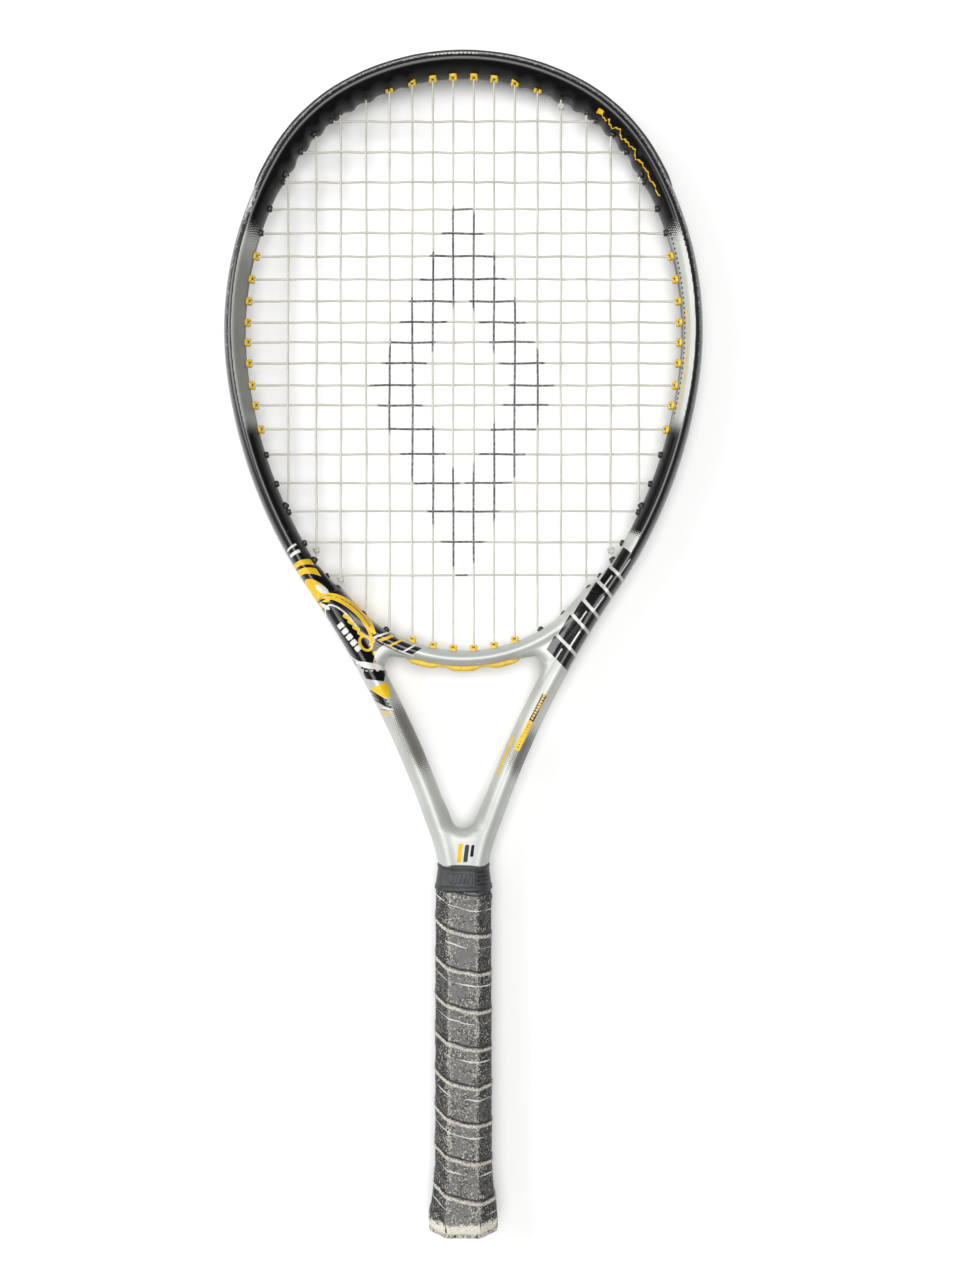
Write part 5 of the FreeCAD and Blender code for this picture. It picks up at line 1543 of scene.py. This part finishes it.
def make_collar():
    """Rubber collar over the top of the grip."""
    turns = np.linspace(0.0, 2.0 * math.pi, 420, endpoint=False)
    built = Builder()
    rings = []
    heights = np.linspace(0.0, COLLAR_TOP - COLLAR_BOTTOM, 92)
    last = heights[-1]
    for up in heights:
        round_off = max(0.0, 1.0 - min(up, last - up) / 0.5) ** 2 * 0.4
        slack = 0.12 * math.sin(up * 0.4)
        rings.append([((collar_reach(up, t) - round_off + slack * 0.3) * math.cos(t),
                       COLLAR_BOTTOM + up - 0.25 * math.sin(t * 2.0) * (up / last),
                       (collar_reach(up, t) - round_off) * math.sin(t)) for t in turns])
    for up in (last, 0.0):
        rings.append([((collar_reach(up, t) - COLLAR_WALL) * math.cos(t), COLLAR_BOTTOM + up,
                       (collar_reach(up, t) - COLLAR_WALL) * math.sin(t)) for t in turns])
    built.grid(rings, closed=True)
    dress(built.make("ribbed_grip_collar"), RUBBER, "collar_rubber", "grip_collar")


def dress_nodes():
    """Materials of the CAD nodes that stay: the end of the handle and what lies under the wraps."""
    finishes = {"butt_cap": CAP_PLASTIC, "butt_cap_door": CAP_PLASTIC, "cap_staples": STEEL,
                "grip_staple": STEEL, "base_grip": BASE_GRIP, "finishing_tape": TAPE,
                "handle_pallet_front": FOAM, "handle_pallet_back": FOAM}
    for node, material in finishes.items():
        mesh = NODES[node].data
        mesh.materials.clear()
        mesh.materials.append(material)


# ---- frame piece, floor, lights and camera ------------------------------------------------------
def make_frame():
    """The painted frame, which stands for the tube and the bridge."""
    points, quads = frame_points(SKIN_STEP)
    piece = add_mesh("painted_frame", points, quads, frame_fields(points))
    dress(piece, FRAME_PAINT, "painted_composite", "frame_tube", "throat_bridge")


FLOOR_HALF = 2.2                 # metres
FLOOR_TICKS = 61


def make_floor():
    """Pale, faintly mottled floor."""
    ticks = np.linspace(-FLOOR_HALF, FLOOR_HALF, FLOOR_TICKS).tolist()
    points = [(x, y, 0.0) for y in ticks for x in ticks]
    mesh = bpy.data.meshes.new("floor")
    mesh.from_pydata(points, [], grid_faces(FLOOR_TICKS, FLOOR_TICKS, False, False))
    floor = bpy.data.objects.new("floor", mesh)
    bpy.context.scene.collection.objects.link(floor)
    made = Finish("pale_floor", Roughness=0.9, Specular_IOR_Level=0.1)
    cloud = made.noise(60.0, 2.0, 0.5)
    made.wire("Base Color", made.mix(cloud, (0.90, 0.90, 0.895), (0.93, 0.93, 0.925)))
    mesh.materials.append(made.material)


def area_light(name, place, aim, size, power):
    """Soft rectangular light aimed at a point."""
    data = bpy.data.lights.new(name, "AREA")
    data.shape = "RECTANGLE"
    data.size, data.size_y = size
    data.energy = power
    lamp = bpy.data.objects.new(name, data)
    lamp.location = place
    lamp.rotation_euler = (Vector(aim) - Vector(place)).to_track_quat("-Z", "Y").to_euler()
    bpy.context.scene.collection.objects.link(lamp)


def make_lights():
    """Pale surround, a broad light overhead and a smaller one from the left."""
    world = bpy.data.worlds.new("surround")
    world.use_nodes = True
    world.node_tree.nodes["Background"].inputs["Color"].default_value = (1.0, 1.0, 1.0, 1.0)
    world.node_tree.nodes["Background"].inputs["Strength"].default_value = 0.28
    bpy.context.scene.world = world
    area_light("overhead", (0.05, 0.1, 2.3), (0.0, 0.0, 0.0), (1.5, 1.7), 50.0)
    area_light("window", (-1.6, 0.5, 1.05), (0.0, 0.0, 0.0), (0.9, 1.2), 22.0)


LENS = 37.1
CAMERA_PLACE = (0.010, -0.0004, 0.8184)


def make_camera():
    """Camera straight above the string bed."""
    data = bpy.data.cameras.new("camera")
    data.sensor_width = 36.0
    data.lens = LENS
    camera = bpy.data.objects.new("camera", data)
    camera.location = CAMERA_PLACE
    camera.rotation_euler = (0.0, 0.0, 0.0)
    bpy.context.scene.collection.objects.link(camera)
    bpy.context.scene.camera = camera
    bpy.context.scene.view_settings.view_transform = "Standard"


make_frame()
make_strings()
make_knots()
make_strips()
make_grommets()
make_throat_strip()
make_overgrip()
make_collar()
dress_nodes()
make_floor()
make_lights()
make_camera()
